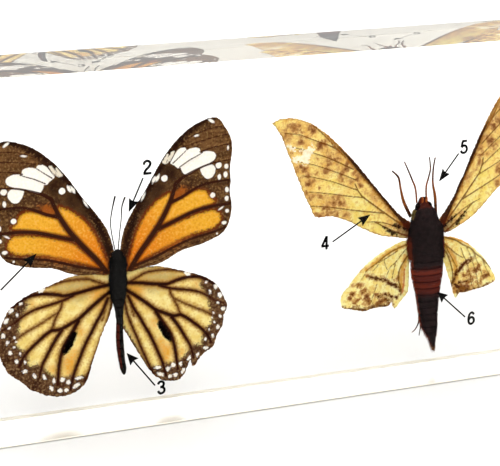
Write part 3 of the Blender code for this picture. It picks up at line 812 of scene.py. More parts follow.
HINDWING_WARM = [
    (-38.9, 26.2, 1.6, 0.9), (-36.4, 25.4, 1.6, 0.3), (-32.0, 9.6, 1.0, 0.6), (-34.2, 18.0, 1.2, 0.6),
    (-33.2, 13.4, 1.2, 0.6), (-28.2, 10.6, 1.0, 0.6), (-31.6, 11.6, 1.0, 0.7), (-24.6, 25.4, 1.0, 0.5),
    (-38.4, 23.0, 1.0, 0.4), (-30.4, 24.9, 1.0, 0.2),
]
HINDWING_DUSK = [
    (-33.0, 27.2, 2.2, 0.8), (-29.6, 27.7, 1.2, 0.5), (-36.4, 27.9, 1.4, 0.5), (-24.0, 25.8, 0.6, 0.6),
    (-22.8, 22.0, 0.8, 0.4), (-24.2, 12.6, 0.9, 0.4), (-27.0, 11.2, 0.8, 0.4), (-34.8, 25.6, 1.0, 0.3),
]


def hindwing_fields(points):
    """The butterfly hindwing's distances, in millimetres, and its clouds of warm and dusky tone."""
    return {
        "pale": patch_distance(points, HINDWING_PALE),
        "vein": vein_distance(points, HINDWING_VEINS),
        "white": spot_distance(points, HINDWING_SPOTS),
        "patch": patch_distance(points, HINDWING_PATCH),
        "warm": cloud(points, HINDWING_WARM),
        "dusk": cloud(points, HINDWING_DUSK),
        "root": point_distance(points, HINDWING_ROOT),
    }


# %% [markdown]
# The straw yellow is warmer in some places and duskier in others, and each vein stains the scales beside
# it. The border is a brown close to the forewing's. The white dots go on last.

# %% Butterfly hindwing scales
def hindwing_scales():
    """Straw yellow scales with brown-black veins and border, and white dots."""
    material, tree = new_material("butterfly_hindwing_scales")
    fine = scale_noise(tree, 0.5, detail=4.0)
    coarse = scale_noise(tree, 1.8)
    pale = read_field(tree, "pale")
    vein = read_field(tree, "vein")
    white = read_field(tree, "white")
    border = ramp(tree, coarse, 0.38, 0.62, "#4E3221", "#6E4E34")
    border = paint(tree, border, "#A98458", fine, 0.62, 0.54, strength=0.6)
    border = paint(tree, border, "#2E1A10", fine, 0.38, 0.46, strength=0.6)
    straw = ramp(tree, coarse, 0.38, 0.62, "#F0DA84", "#F8EBA6")
    straw = paint(tree, straw, "#E6A634", read_field(tree, "warm"), 0.9, 0.15, 0.2, fine, 0.85)
    straw = paint(tree, straw, "#B89A56", read_field(tree, "dusk"), 0.9, 0.15, 0.2, fine, 0.7)
    straw = paint(tree, straw, "#DDBB62", fine, 0.38, 0.47, strength=0.4)
    straw = paint(tree, straw, "#C4923F", vein, 0.2, 0.95, 0.25, fine, 0.65)
    straw = paint(tree, straw, "#7A441C", vein, -0.05, 0.42, 0.15, fine, 0.8)
    colour = paint(tree, border, straw, pale, -0.45, 0.35, 0.55, fine)
    colour = paint(tree, colour, "#472214", vein, -0.2, 0.09, 0.04, fine, 0.97)
    colour = paint(tree, colour, "#26110A", vein, -0.34, -0.06, 0.03, fine, 0.9)
    colour = paint(tree, colour, "#0C0605", read_field(tree, "patch"), -0.15, 0.3, 0.2, fine)
    colour = paint(tree, colour, ramp(tree, fine, 0.3, 0.7, "#FFFEFA", "#F2ECDF"), white,
                   -0.08, 0.14, 0.14, fine)
    finish_wing(tree, colour, fine, 0.30)
    return material


# %% [markdown]
# The left wings use the same lists. A function takes each point of a wing back to where it lies in the
# pattern: it undoes the turn about the wing's root, mirrors the side, and evens out the width.

# %% Butterfly wings
BUTTERFLY_FOREWING_PIVOT = (1.5, 31.0)
LEFT_FOREWING_DROP = -3.7
LEFT_HINDWING_WIDTH = 1.06


def back_to_pattern(axis_x, side, pattern_side, pivot=(0.0, 0.0), turn=0.0, width=1.0):
    """Return the function that takes a wing's points back to the pattern's place."""
    def place(points):
        across = side * (points[:, 0] - axis_x) - pivot[0]
        up = points[:, 1] - pivot[1]
        cosine, sine = math.cos(math.radians(turn)), math.sin(math.radians(turn))
        unturned_across = pivot[0] + (across * cosine + up * sine)
        unturned_up = pivot[1] + (up * cosine - across * sine)
        return np.column_stack([axis_x + pattern_side * unturned_across / width, unturned_up])
    return place


orange_scales = forewing_scales()
straw_scales = hindwing_scales()
butterfly_right = back_to_pattern(BUTTERFLY_AXIS_X, 1, 1)
butterfly_fore_left = back_to_pattern(BUTTERFLY_AXIS_X, -1, 1, BUTTERFLY_FOREWING_PIVOT, LEFT_FOREWING_DROP)
butterfly_hind_left = back_to_pattern(BUTTERFLY_AXIS_X, -1, 1, width=LEFT_HINDWING_WIDTH)
for side, to_forewing, to_hindwing in (
    ("right", butterfly_right, butterfly_right), ("left", butterfly_fore_left, butterfly_hind_left),
):
    make_wing(f"butterfly_forewing_{side}", orange_scales, BUTTERFLY_AXIS_X,
              to_forewing, forewing_fields, arch=-0.25, fray=FRAY, spread=-1.6)
    make_wing(f"butterfly_hindwing_{side}", straw_scales, BUTTERFLY_AXIS_X,
              to_hindwing, hindwing_fields, arch=0.2, fray=2 * FRAY, spread=0.6)

# %% [markdown]
# The hawk moth's forewing is long and pointed, amber with brown clouds, thin veins, a dark leading edge
# and a worn tip with bare, nearly white places. Its lists trace the left wing, and the right wing mirrors
# it and is raised. The hindwings are pale yellow with a broken dark band and a brown, ragged lower edge.
# They are worn and folded in ways of their own, so each has its own lists.

# %% Moth patterns
MOTH_AXIS_X = 28.5
MOTH_FOREWING_PIVOT = (4.8, 32.0)
RIGHT_FOREWING_RISE = 16.0
MOTH_FORE_ROOT = (24.0, 32.0)
MOTH_COSTA = [
    (0.85, 0.55, [(24.8, 32.4), (22.4, 35.4), (19.2, 39.2), (16.2, 42.7), (13.2, 46.0), (11.4, 48.0)]),
    (0.50, 0.02, [(11.4, 48.0), (9.4, 50.2), (7.4, 52.2), (4.6, 55.2)]),
]
MOTH_FORE_VEINS = [
    (0.07, 0.11, [(-5.0, 56.4), (-2.0, 55.9), (0.0, 55.1), (3.0, 53.8), (5.0, 53.0), (7.4, 51.6)]),
    (0.07, 0.11, [(-3.9, 53.4), (-1.0, 52.6), (2.0, 51.4), (5.0, 50.2), (8.0, 48.7), (10.8, 47.2)]),
    (0.06, 0.09, [(-2.6, 50.2), (1.0, 49.2), (4.0, 48.1), (8.0, 46.4), (11.4, 44.8)]),
    (0.06, 0.09, [(-1.0, 46.9), (3.0, 45.9), (6.0, 44.9), (9.0, 43.7), (11.8, 42.5)]),
    (0.06, 0.09, [(0.4, 43.2), (5.0, 42.4), (9.0, 41.5), (13.2, 40.7)]),
    (0.07, 0.12, [(1.0, 40.0), (4.0, 39.6), (7.0, 39.0), (10.0, 38.3), (14.0, 37.5), (18.2, 36.7)]),
    (0.10, 0.16, [(11.2, 44.0), (12.0, 42.3), (13.2, 40.8), (15.5, 39.0), (18.2, 36.9), (21.0, 34.8),
                  (24.0, 32.8)]),
    (0.08, 0.10, [(1.0, 58.0), (3.8, 55.4), (6.5, 52.5), (9.0, 49.9)]),
    (0.08, 0.12, [(12.6, 45.6), (15.4, 42.6), (18.2, 39.2), (21.2, 36.0), (24.0, 33.3)]),
    (0.10, 0.16, [(16.0, 35.0), (18.4, 33.6), (21.0, 32.2), (24.2, 30.9)]),
    (0.06, 0.10, [(14.0, 35.2), (18.0, 34.6), (22.0, 33.0)]),
]
MOTH_FORE_DARK = [
    [(18.2, 33.6), (19.0, 33.3), (20.2, 32.6), (21.7, 31.7), (21.6, 31.2), (20.4, 31.6), (19.2, 32.4)],
    [(20.6, 33.8), (21.6, 33.7), (23.0, 33.0), (24.3, 32.3), (24.3, 31.8), (22.8, 32.5), (21.2, 33.2)],
]
MOTH_FORE_BROWN = [
    (1.3, 56.7, 0.7, 1.2), (3.7, 53.5, 0.7, 1.3), (2.9, 52.9, 0.6, 0.8), (7.0, 50.4, 0.8, 1.3),
    (5.6, 50.6, 0.7, 0.7), (4.8, 48.6, 0.7, 1.0), (8.4, 47.0, 0.7, 1.2), (9.4, 48.2, 0.6, 0.8),
    (4.5, 46.9, 0.5, 0.9), (8.0, 45.4, 0.6, 0.8), (11.9, 44.9, 0.5, 1.2), (12.4, 43.4, 0.45, 1.3),
    (11.3, 46.2, 0.5, 1.0), (10.4, 44.6, 0.5, 0.7), (-5.6, 56.0, 0.6, 1.1), (-4.8, 54.4, 0.5, 0.8),
    (-1.3, 54.3, 0.6, 1.0), (0.0, 55.2, 0.5, 0.6), (-3.6, 57.4, 1.3, 0.6), (-1.2, 57.2, 0.9, 0.5),
    (-1.8, 48.6, 0.7, 0.8), (-0.5, 48.4, 0.6, 0.9), (0.3, 46.6, 0.5, 0.9), (0.5, 44.9, 0.45, 1.2),
    (-1.6, 46.6, 0.6, 0.6), (0.1, 43.2, 0.4, 1.0), (-3.3, 51.9, 0.4, 0.8), (-2.0, 52.0, 0.45, 1.1),
    (0.6, 41.7, 0.4, 1.0), (1.6, 42.2, 0.5, 0.6), (3.3, 42.0, 0.6, 0.8), (7.2, 40.4, 0.9, 0.9),
    (8.3, 39.8, 0.6, 0.7), (6.0, 40.9, 0.5, 0.6), (4.4, 39.3, 0.45, 1.5), (5.6, 38.4, 0.5, 1.1),
    (4.2, 37.7, 0.45, 1.7), (3.0, 37.4, 0.4, 1.2), (7.0, 37.4, 0.5, 0.9), (9.2, 37.2, 0.7, 0.8),
    (2.2, 38.2, 0.3, 0.9), (3.0, 43.8, 0.22, 1.0), (1.6, 45.4, 0.25, 0.9), (2.3, 47.2, 0.3, 0.9),
    (2.6, 50.2, 0.5, 0.7), (5.0, 43.8, 0.3, 0.5), (8.8, 43.6, 0.4, 0.4), (6.2, 46.6, 0.4, 0.6),
    (10.8, 49.2, 0.8, 0.7), (13.6, 41.8, 0.7, 0.5), (16.4, 40.3, 0.8, 0.5), (15.6, 41.2, 0.7, 0.5),
    (21.8, 33.4, 0.9, 0.9), (19.2, 34.0, 0.8, 0.5), (19.4, 37.4, 0.8, 0.5), (13.3, 37.4, 0.3, 0.6),
    (-2.0, 56.0, 3.2, 0.22), (6.5, 49.5, 4.0, 0.20), (5.5, 39.2, 2.2, 0.30), (0.5, 46.0, 2.0, 0.20),
]
MOTH_FORE_LIGHT = [
    (12.5, 39.6, 2.0, 0.9), (6.5, 43.6, 2.2, 0.75), (15.6, 34.2, 2.4, 0.9), (11.5, 36.5, 1.6, 0.5),
    (2.8, 38.7, 0.8, 0.7), (6.6, 46.2, 1.0, 0.6), (2.4, 47.2, 1.0, 0.4), (0.0, 58.0, 1.4, 0.4),
    (-6.8, 58.8, 0.7, 0.6),
]
MOTH_FORE_BARE = [
    [(-4.6, 53.7), (-3.4, 53.4), (-2.7, 52.9), (-3.0, 52.4), (-4.0, 52.8)],
    [(-1.5, 52.4), (-0.5, 52.4), (0.4, 53.1), (1.2, 53.4), (1.5, 52.6), (1.3, 51.4), (0.9, 50.5),
     (0.4, 49.4), (-0.4, 49.3), (-1.2, 49.9), (-2.4, 49.9), (-3.6, 50.2), (-3.4, 51.0), (-2.2, 51.2),
     (-1.4, 51.0), (-0.9, 51.3)],
]
MOTH_HINDWINGS = {
    "left": {
        "root": (24.0, 28.0),
        "veins": [
            (0.12, 0.09, [(24.2, 28.8), (21.3, 27.9), (18.7, 26.5), (16.8, 25.1), (15.1, 24.2),
                          (14.4, 23.5)]),
            (0.09, 0.07, [(22.0, 27.6), (19.6, 26.3), (17.5, 25.3)]),
            (0.09, 0.06, [(24.4, 28.2), (22.7, 26.3), (21.7, 25.1), (20.3, 24.0), (19.8, 22.8),
                          (19.3, 21.6)]),
            (0.07, 0.06, [(21.6, 24.8), (21.2, 23.2), (20.8, 21.0)]),
            (0.07, 0.06, [(18.8, 25.9), (19.1, 24.7), (19.6, 23.6)]),
            (0.06, 0.05, [(17.5, 24.9), (16.1, 23.5)]),
            (0.13, 0.13, [(24.4, 26.2), (23.1, 24.2), (22.4, 22.5), (22.5, 20.4), (23.1, 18.7),
                          (23.0, 17.2)]),
            (0.06, 0.05, [(14.2, 23.0), (13.2, 21.6), (12.4, 20.0)]),
            (0.06, 0.05, [(17.2, 20.4), (16.6, 18.6), (15.8, 16.4)]),
        ],
        "band": [
            (0.30, 0.36, [(15.5, 22.2), (16.4, 22.1), (17.2, 21.7)]),
            (0.22, 0.34, [(17.9, 21.5), (18.7, 21.3)]),
            (0.30, 0.34, [(19.2, 21.0), (19.9, 20.6), (20.6, 20.1), (21.5, 19.7), (22.3, 19.2)]),
            (0.20, 0.10, [(22.3, 19.2), (22.8, 18.2)]),
            (0.16, 0.26, [(17.7, 17.5), (18.9, 17.9), (20.3, 17.4), (21.3, 16.9), (22.3, 16.9)]),
            (0.34, 0.22, [(19.5, 16.6), (19.9, 16.0), (20.2, 15.4)]),
            (0.16, 0.20, [(20.8, 16.4), (21.0, 15.2), (21.2, 14.6)]),
        ],
        "brown": [
            (14.9, 22.5, 0.35, 1.0), (13.1, 24.0, 0.35, 1.3), (13.2, 20.6, 0.42, 1.2), (12.3, 20.7, 0.4, 0.6),
            (10.9, 18.2, 0.5, 1.7), (11.4, 18.9, 0.4, 1.0), (14.2, 19.4, 0.42, 1.2), (14.0, 18.3, 0.4, 1.0),
            (14.8, 17.8, 0.4, 0.9), (13.0, 17.4, 0.5, 0.7), (12.0, 16.8, 0.5, 0.6), (17.2, 18.2, 0.35, 0.7),
            (18.8, 16.6, 0.5, 1.1), (17.6, 16.2, 0.5, 0.8), (15.4, 16.6, 0.5, 0.8), (16.4, 17.2, 0.4, 0.6),
            (14.4, 24.0, 0.5, 0.6), (21.6, 20.6, 0.5, 0.7), (22.4, 21.4, 0.4, 0.6), (11.4, 20.8, 0.4, 0.4),
            (14.5, 17.6, 2.2, 0.35), (18.0, 19.4, 2.0, 0.12),
        ],
        "margin": [(0.28, 0.36, [(8.9, 15.8), (10.9, 15.4), (12.7, 15.1), (14.4, 14.8), (16.1, 15.2),
                                 (17.9, 15.5), (19.1, 15.0), (20.4, 15.2)])],
        "red": [(0.10, 0.20, [(23.8, 23.2), (23.8, 20.1), (23.4, 17.8)])],
        "amber": [
            (0.45, 0.35, [(24.2, 28.8), (20.0, 27.4), (16.8, 25.4), (14.6, 24.0)]),
            (0.50, 0.45, [(24.0, 26.0), (23.2, 22.5), (23.1, 19.0)]),
        ],
    },
    "right": {
        "root": (33.0, 28.6),
        "veins": [
            (0.14, 0.09, [(33.6, 29.4), (36.0, 28.6), (38.2, 27.2), (40.0, 26.2), (41.6, 24.6), (43.2, 23.4),
                          (45.4, 20.8)]),
            (0.12, 0.07, [(32.8, 28.6), (35.2, 26.4), (36.6, 25.2), (38.2, 24.2)]),
            (0.14, 0.12, [(32.8, 27.4), (34.0, 25.8), (34.8, 24.2), (35.4, 22.4), (35.8, 20.6),
                          (35.8, 18.4)]),
            (0.10, 0.08, [(33.4, 27.8), (35.2, 24.8), (36.2, 23.0), (36.8, 22.0)]),
            (0.07, 0.06, [(37.6, 26.6), (38.2, 25.0), (39.0, 23.4)]),
            (0.07, 0.06, [(39.0, 26.4), (40.2, 24.2), (41.8, 19.4), (42.2, 17.4)]),
            (0.07, 0.06, [(40.2, 26.0), (42.0, 22.6), (43.6, 18.4)]),
            (0.07, 0.06, [(39.4, 22.4), (40.2, 19.8), (40.6, 17.4)]),
            (0.07, 0.06, [(42.8, 23.6), (45.2, 19.0)]),
        ],
        "band": [
            (0.22, 0.46, [(40.8, 23.7), (40.2, 23.6), (39.4, 23.2), (38.4, 22.6), (37.6, 21.6)]),
            (0.46, 0.24, [(37.6, 21.6), (36.6, 20.6), (36.1, 19.6), (35.7, 18.2)]),
            (0.20, 0.14, [(37.4, 18.6), (38.6, 18.4), (40.6, 18.8)]),
            (0.34, 0.30, [(36.6, 18.0), (37.2, 17.4), (38.2, 17.0)]),
        ],
        "brown": [
            (42.3, 21.6, 0.45, 1.4), (42.0, 20.6, 0.4, 1.0), (44.2, 19.5, 0.5, 1.7), (41.2, 21.0, 0.35, 0.9),
            (41.0, 19.0, 0.4, 0.8), (43.4, 20.2, 0.4, 0.7), (38.6, 20.0, 0.5, 0.7), (39.6, 20.6, 0.4, 0.6),
            (38.4, 17.4, 0.6, 1.3), (40.0, 17.6, 0.6, 0.8), (36.2, 17.0, 0.5, 0.9), (42.6, 18.0, 0.6, 0.6),
            (40.5, 19.5, 2.2, 0.40), (36.0, 25.0, 1.6, 0.25),
        ],
        "margin": [(0.50, 0.20, [(37.2, 16.2), (39.2, 16.5), (41.6, 16.3), (43.8, 16.8), (46.2, 17.4)])],
        "red": [(0.12, 0.20, [(32.6, 29.0), (32.8, 26.4)])],
        "amber": [
            (0.80, 0.30, [(32.8, 29.8), (36.0, 29.0), (39.0, 27.8), (41.6, 26.4)]),
            (0.60, 0.50, [(33.6, 27.6), (35.8, 24.6), (36.6, 21.4), (36.4, 16.4)]),
        ],
    },
}


def moth_fore_fields(points):
    """The moth forewing's distances, in millimetres, and its brown and light clouds."""
    return {
        "vein": vein_distance(points, MOTH_FORE_VEINS),
        "costa": vein_distance(points, MOTH_COSTA),
        "dark": patch_distance(points, MOTH_FORE_DARK),
        "bare": patch_distance(points, MOTH_FORE_BARE),
        "brown": cloud(points, MOTH_FORE_BROWN),
        "light": cloud(points, MOTH_FORE_LIGHT),
        "root": point_distance(points, MOTH_FORE_ROOT),
    }


def moth_hind_fields(side):
    """Return the function that gives a moth hindwing's distances, in millimetres, and brown clouds."""
    marks = MOTH_HINDWINGS[side]

    def fields(points):
        values = {"vein": vein_distance(points, marks["veins"]), "brown": cloud(points, marks["brown"])}
        for name in ("band", "margin", "red", "amber"):
            values[name] = vein_distance(points, marks[name])
        values["root"] = point_distance(points, marks["root"])
        return values
    return fields


# %% [markdown]
# The moth's brown is laid on in three strengths, one where its clouds are thin and two where they are
# denser. Puffs of cloud alone would look like round blots, so noise breaks them into specks first. Both
# pairs of wings let more light through than the butterfly's do.

# %% Moth wing scales
def broken(tree, field, size_mm):
    """Read a cloud field and break it into specks, so that its puffs don't show as round."""
    lumps = scale_noise(tree, size_mm, detail=6.0)
    share = add(tree, "MapRange", {}, {"Value": lumps, "From Min": 0.38, "From Max": 0.62,
                                       "To Min": 0.3, "To Max": 1.7})
    return add(tree, "Math", {"operation": "MULTIPLY"}, {0: read_field(tree, field), 1: share})


def moth_fore_scales():
    """Amber scales with brown clouds, worn thin toward the tip so that light comes through."""
    material, tree = new_material("moth_forewing_scales")
    fine = scale_noise(tree, 0.55, detail=5.0)
    coarse = scale_noise(tree, 1.7, detail=4.0)
    brown = broken(tree, "brown", 1.0)
    vein = read_field(tree, "vein")
    colour = ramp(tree, coarse, 0.38, 0.62, "#EECC74", "#FAEC9E")
    colour = paint(tree, colour, ramp(tree, coarse, 0.38, 0.62, "#FAF4B0", "#F2DF7C"),
                   read_field(tree, "light"), 0.8, 0.1, 0.2, fine, 0.9)
    colour = paint(tree, colour, "#D2A04C", fine, 0.38, 0.47, strength=0.45)
    colour = paint(tree, colour, "#D6A766", brown, 0.62, 0.2, 0.35, fine, 0.7)
    colour = paint(tree, colour, "#AC7644", brown, 1.1, 0.6, 0.45, fine, 0.75)
    colour = paint(tree, colour, "#7A4426", brown, 2.0, 1.2, 0.5, fine, 0.75)
    colour = paint(tree, colour, "#A8702E", read_field(tree, "rim"), 0.08, 0.3, 0.1, fine, 0.6)
    colour = paint(tree, colour, "#744012", vein, -0.02, 0.13, 0.03, fine, 0.85)
    colour = paint(tree, colour, "#A8661E", read_field(tree, "costa"), 0.0, 0.7, 0.25, fine, 0.75)
    colour = paint(tree, colour, "#381A10", read_field(tree, "costa"), -0.25, 0.1, 0.07, fine, 0.95)
    colour = paint(tree, colour, "#6E2A14", read_field(tree, "root"), 0.6, 3.6, 0.9, fine, 0.75)
    colour = paint(tree, colour, "#2A120B", read_field(tree, "dark"), -0.2, 0.25, 0.45, fine, 0.95)
    colour = paint(tree, colour, ramp(tree, fine, 0.3, 0.7, "#FFFDF2", "#F3E8C6"),
                   read_field(tree, "bare"), -0.15, 0.15, 0.6, fine, 0.95)
    finish_wing(tree, colour, fine, 0.45)
    return material


def moth_hind_scales():
    """Pale yellow scales, thin between the veins, with a broken dark band."""
    material, tree = new_material("moth_hindwing_scales")
    fine = scale_noise(tree, 0.55, detail=5.0)
    coarse = scale_noise(tree, 1.3, detail=4.0)
    brown = broken(tree, "brown", 0.9)
    colour = ramp(tree, coarse, 0.38, 0.62, "#F5E490", "#FCF8C0")
    colour = paint(tree, colour, "#DAB866", fine, 0.38, 0.46, strength=0.45)
    colour = paint(tree, colour, "#DDA53A", read_field(tree, "amber"), -0.3, 0.4, 0.25, fine, 0.8)
    colour = paint(tree, colour, "#CC9850", brown, 0.62, 0.2, 0.3, fine, 0.75)
    colour = paint(tree, colour, "#94592C", brown, 1.1, 0.6, 0.35, fine, 0.8)
    colour = paint(tree, colour, "#643218", brown, 1.9, 1.2, 0.35, fine, 0.8)
    colour = paint(tree, colour, "#A87038", read_field(tree, "band"), 0.0, 0.55, 0.35, fine, 0.75)
    colour = paint(tree, colour, "#522610", read_field(tree, "band"), -0.2, 0.12, 0.35, fine, 0.95)
    colour = paint(tree, colour, "#96602A", read_field(tree, "margin"), 0.0, 0.5, 0.5, fine, 0.85)
    colour = paint(tree, colour, "#522A14", read_field(tree, "margin"), -0.3, 0.0, 0.35, fine, 0.75)
    colour = paint(tree, colour, "#C4561A", read_field(tree, "red"), -0.02, 0.16, 0.05, fine, 0.7)
    colour = paint(tree, colour, "#7E561E", read_field(tree, "vein"), -0.02, 0.13, 0.03, fine, 0.85)
    finish_wing(tree, colour, fine, 0.45)
    return material


# %% [markdown]
# The right forewing takes the left one's pattern, mirrored and turned about its pivot. Each hindwing's
# pattern was traced where the wing lies, so its points are used as they are.

# %% Moth wings
amber_scales = moth_fore_scales()
pale_scales = moth_hind_scales()
moth_left = back_to_pattern(MOTH_AXIS_X, -1, -1)
moth_fore_right = back_to_pattern(MOTH_AXIS_X, 1, -1, MOTH_FOREWING_PIVOT, RIGHT_FOREWING_RISE)
for side, to_forewing in (("left", moth_left), ("right", moth_fore_right)):
    make_wing(f"moth_forewing_{side}", amber_scales, MOTH_AXIS_X,
              to_forewing, moth_fore_fields, arch=-0.3, fray=2 * FRAY, spread=-0.4)
    make_wing(f"moth_hindwing_{side}", pale_scales, MOTH_AXIS_X,
              np.array, moth_hind_fields(side), arch=0.2, fray=2 * FRAY, spread=0.5)

# %% [markdown]
# An insect's body is a row of hard rings under hair. The rings come from the CAD body: its sections are
# read from the node and run through finer ones, with a groove where two rings meet.

# %% Body builder
BODY_STEP = 0.12
BODY_SIDES = 32
SKIN_SIZE = 0.96
SEAM_DEPTH = 0.07
SEAM_REACH = 0.16
SAME_HEIGHT = 0.02
LUMP_SIZE = 0.02
LUMPS_ROUND, LUMPS_UP = 2.0, 1.1


def node_sections(name):
    """Read a body's oval sections from its CAD node: height, middle X, half width, middle Y, half depth."""
    corners = np.array([vertex.co for vertex in nodes[name].data.vertices]) / MM
    rows = []
    for height in np.unique(np.round(corners[:, 2], 2)):
        ring = corners[abs(corners[:, 2] - height) < SAME_HEIGHT]
        low, high = ring.min(axis=0), ring.max(axis=0)
        rows.append((height, (low[0] + high[0]) / 2, (high[0] - low[0]) / 2,
                     (low[1] + high[1]) / 2, (high[1] - low[1]) / 2))
    return np.array(rows)


def section_at(rows, height):
    """Middle X, half width, middle Y and half depth of a body at a height."""
    return [np.interp(height, rows[:, 0], rows[:, k]) for k in (1, 2, 3, 4)]


def seam_distance(height, rings):
    """How far a height is from where two of a body's rings meet. The rings are top, bottom and count."""
    top, bottom, count = rings
    pitch = (top - bottom) / count
    if not top + pitch / 2 >= height >= bottom:
        return pitch / 2
    past = (top - height) % pitch
    return min(past, pitch - past)


def body_mesh(name, rows, rings):
    """Run a fine skin through a body's sections, with grooves and small lumps."""
    heights = np.arange(rows[0, 0], rows[-1, 0] + BODY_STEP / 2, BODY_STEP)
    bm = bmesh.new()
    skin = []
    for height in heights:
        middle_x, wide, middle_y, deep = section_at(rows, height)
        groove = SEAM_DEPTH * math.exp(-(seam_distance(height, rings) / SEAM_REACH) ** 2)
        ring = []
        for k in range(BODY_SIDES):
            angle = math.tau * k / BODY_SIDES
            x, y = math.cos(angle), math.sin(angle)
            lump = LUMP_SIZE * noise.noise(Vector((x * LUMPS_ROUND, y * LUMPS_ROUND, height * LUMPS_UP)))
            size = SKIN_SIZE + lump - groove
            ring.append(bm.verts.new(((middle_x + x * wide * size) * MM,
                                      (middle_y + y * deep * size) * MM, height * MM)))
        skin.append(ring)
    skin_rings(bm, skin)
    mesh = finished_mesh(bm, name)
    mesh.shade_smooth()
    return mesh


# %% [markdown]
# The hair is real mesh, thousands of thin spikes that lie toward the tail, because hair systems would be
# lost when the model is exported. Each spike is shaded with the body's own outward direction, so that a
# coat takes the light as one soft velvet surface and only its outline bristles.

# %% Hair builder
HAIR_ROOT = 0.97
HAIR_SWAY = (0.3, 0.3, 0.2)
HAIR_LENGTHS = (0.6, 1.2)
HAIR_SIDES = 3
SPIKE_TILT = 0.3


def spike(corners, faces, place, direction, length, width, turn):
    """Add one hair: a thin three-sided spike, closed at its foot."""
    side = direction.cross(Vector((math.cos(turn), math.sin(turn), SPIKE_TILT))).normalized()
    other = direction.cross(side)
    first = len(corners)
    for k in range(HAIR_SIDES):
        angle = math.tau * k / HAIR_SIDES
        corners.append(place + (side * math.cos(angle) + other * math.sin(angle)) * width)
    corners.append(place + direction * length)
    faces += [(first, first + 1, first + 3), (first + 1, first + 2, first + 3),
              (first + 2, first, first + 3), (first, first + 2, first + 1)]


def hair_mesh(name, rows, coats, seed):
    """Cover a body with hair. A coat is its lowest and highest height, count, length, width and lift."""
    draw = random.Random(seed)
    corners, faces, normals = [], [], []
    for low, high, count, length, width, lift in coats:
        for _ in range(count):
            height = draw.uniform(low, high)
            middle_x, wide, middle_y, deep = section_at(rows, height)
            angle = draw.uniform(0, math.tau)
            out = Vector((math.cos(angle) * deep, math.sin(angle) * wide, 0)).normalized()
            place = Vector((middle_x + HAIR_ROOT * wide * math.cos(angle),
                            middle_y + HAIR_ROOT * deep * math.sin(angle), height))
            sway = Vector([draw.uniform(-reach, reach) for reach in HAIR_SWAY])
            direction = (out * lift + Vector((0, 0, -1)) + sway).normalized()
            spike(corners, faces, place, direction, length * draw.uniform(*HAIR_LENGTHS), width,
                  draw.uniform(0, math.tau))
            normals += [out] * (HAIR_SIDES + 1)
    mesh = bpy.data.meshes.new(name)
    mesh.from_pydata([corner * MM for corner in corners], [], faces)
    mesh.shade_smooth()
    mesh.normals_split_custom_set_from_vertices(normals)
    return mesh


# %% [markdown]
# Each point of a body or a hair also stores how far it is from a ring seam and how far it lies in a stain
# of colour, for the shader to read. On the moth that stain is painted rim light. Eyes and palps are small
# egg shapes.

# %% Marks and beads
BEAD_SMOOTHNESS = 3


def mark_body(mesh, rows, rings, stain):
    """Store on each point its distance from a ring seam and how far it lies in a stain, on the moth painted
    rim light.
    """
    seams, stains = [], []
    for vertex in mesh.vertices:
        height = vertex.co.z / MM
        middle_x, wide, _, _ = section_at(rows, height)
        seams.append(seam_distance(height, rings))
        stains.append(stain((vertex.co.x / MM - middle_x) / wide, height))
    for field, values in (("seam", seams), ("stain", stains)):
        mesh.attributes.new(field, "FLOAT", "POINT").data.foreach_set("value", values)
    return mesh


def add_bead(bm, centre, radii):
    """Add a small egg shape, such as an eye or a palp."""
    place = Matrix.Translation([value * MM for value in centre])
    bmesh.ops.create_icosphere(bm, subdivisions=BEAD_SMOOTHNESS, radius=MM,
                               matrix=place @ Matrix.Diagonal((*radii, 1.0)))


def bead_mesh(name, beads):
    """Make one mesh of some beads. A bead is its centre and its three radii."""
    bm = bmesh.new()
    for centre, radii in beads:
        add_bead(bm, centre, radii)
    mesh = finished_mesh(bm, name)
    mesh.shade_smooth()
    return mesh


# %% [markdown]
# Body colours change with height: the butterfly is black with a dark red-brown streak down one side of
# its tail, the moth black-brown with a red-brown saddle and a paler tip. The red-brown along the moth's
# flanks is painted rim light, the glow its edge hairs take from light behind them. Hair and skin share
# each colour, so the same shader serves both.

# %% Body materials
BAND_FULL, BAND_NONE, BAND_SHAKE = 0.6, 1.15, 0.5


def body_colour(tree, bands, ground, stain):
    """A ground colour with soft bands, a stain and dark seams. On the moth the stain is painted rim light.

    A band is its colour, its middle and half height, and its strength.
    """
    place = add(tree, "TexCoord", {}, {}, "Object")
    height = add(tree, "SeparateXYZ", {}, {"Vector": place}, "Z")
    grain = scale_noise(tree, 0.8, detail=4.0)
    colour = ramp(tree, grain, 0.35, 0.65, *ground)
    for tone, middle, half, strength in bands:
        off = add(tree, "Math", {"operation": "SUBTRACT"}, {0: height, 1: middle * MM})
        away = add(tree, "Math", {"operation": "ABSOLUTE"}, {0: off})
        colour = paint(tree, colour, tone, away, BAND_FULL * half * MM, BAND_NONE * half * MM,
                       BAND_SHAKE * MM, grain, strength)
    if stain:
        # The stain is the butterfly's red-brown streak, and on the moth it is painted rim light along its
        # edges.
        colour = paint(tree, colour, stain, read_field(tree, "stain"), 0.9, 0.2, 0.3, grain, 0.8)
        colour = paint(tree, colour, "#050303", read_field(tree, "seam"), 0.02, 0.26, 0.06, grain, 0.8)
    return colour, grain


def insect_skin(name, bands, ground, roughness, stain=None):
    """Horny insect skin or hair: dark and a little uneven, dull because it is sealed in resin."""
    material, tree = new_material(name)
    colour, grain = body_colour(tree, bands, ground, stain)
    bump = add(tree, "Bump", {}, {"Height": grain, "Strength": 0.4, "Distance": 0.08 * MM})
    surface = add(tree, "BsdfPrincipled", {}, {
        "Base Color": colour, "Roughness": roughness, "Normal": bump, "Specular IOR Level": 0.0,
    })
    add(tree, "OutputMaterial", {}, {"Surface": surface})
    return material


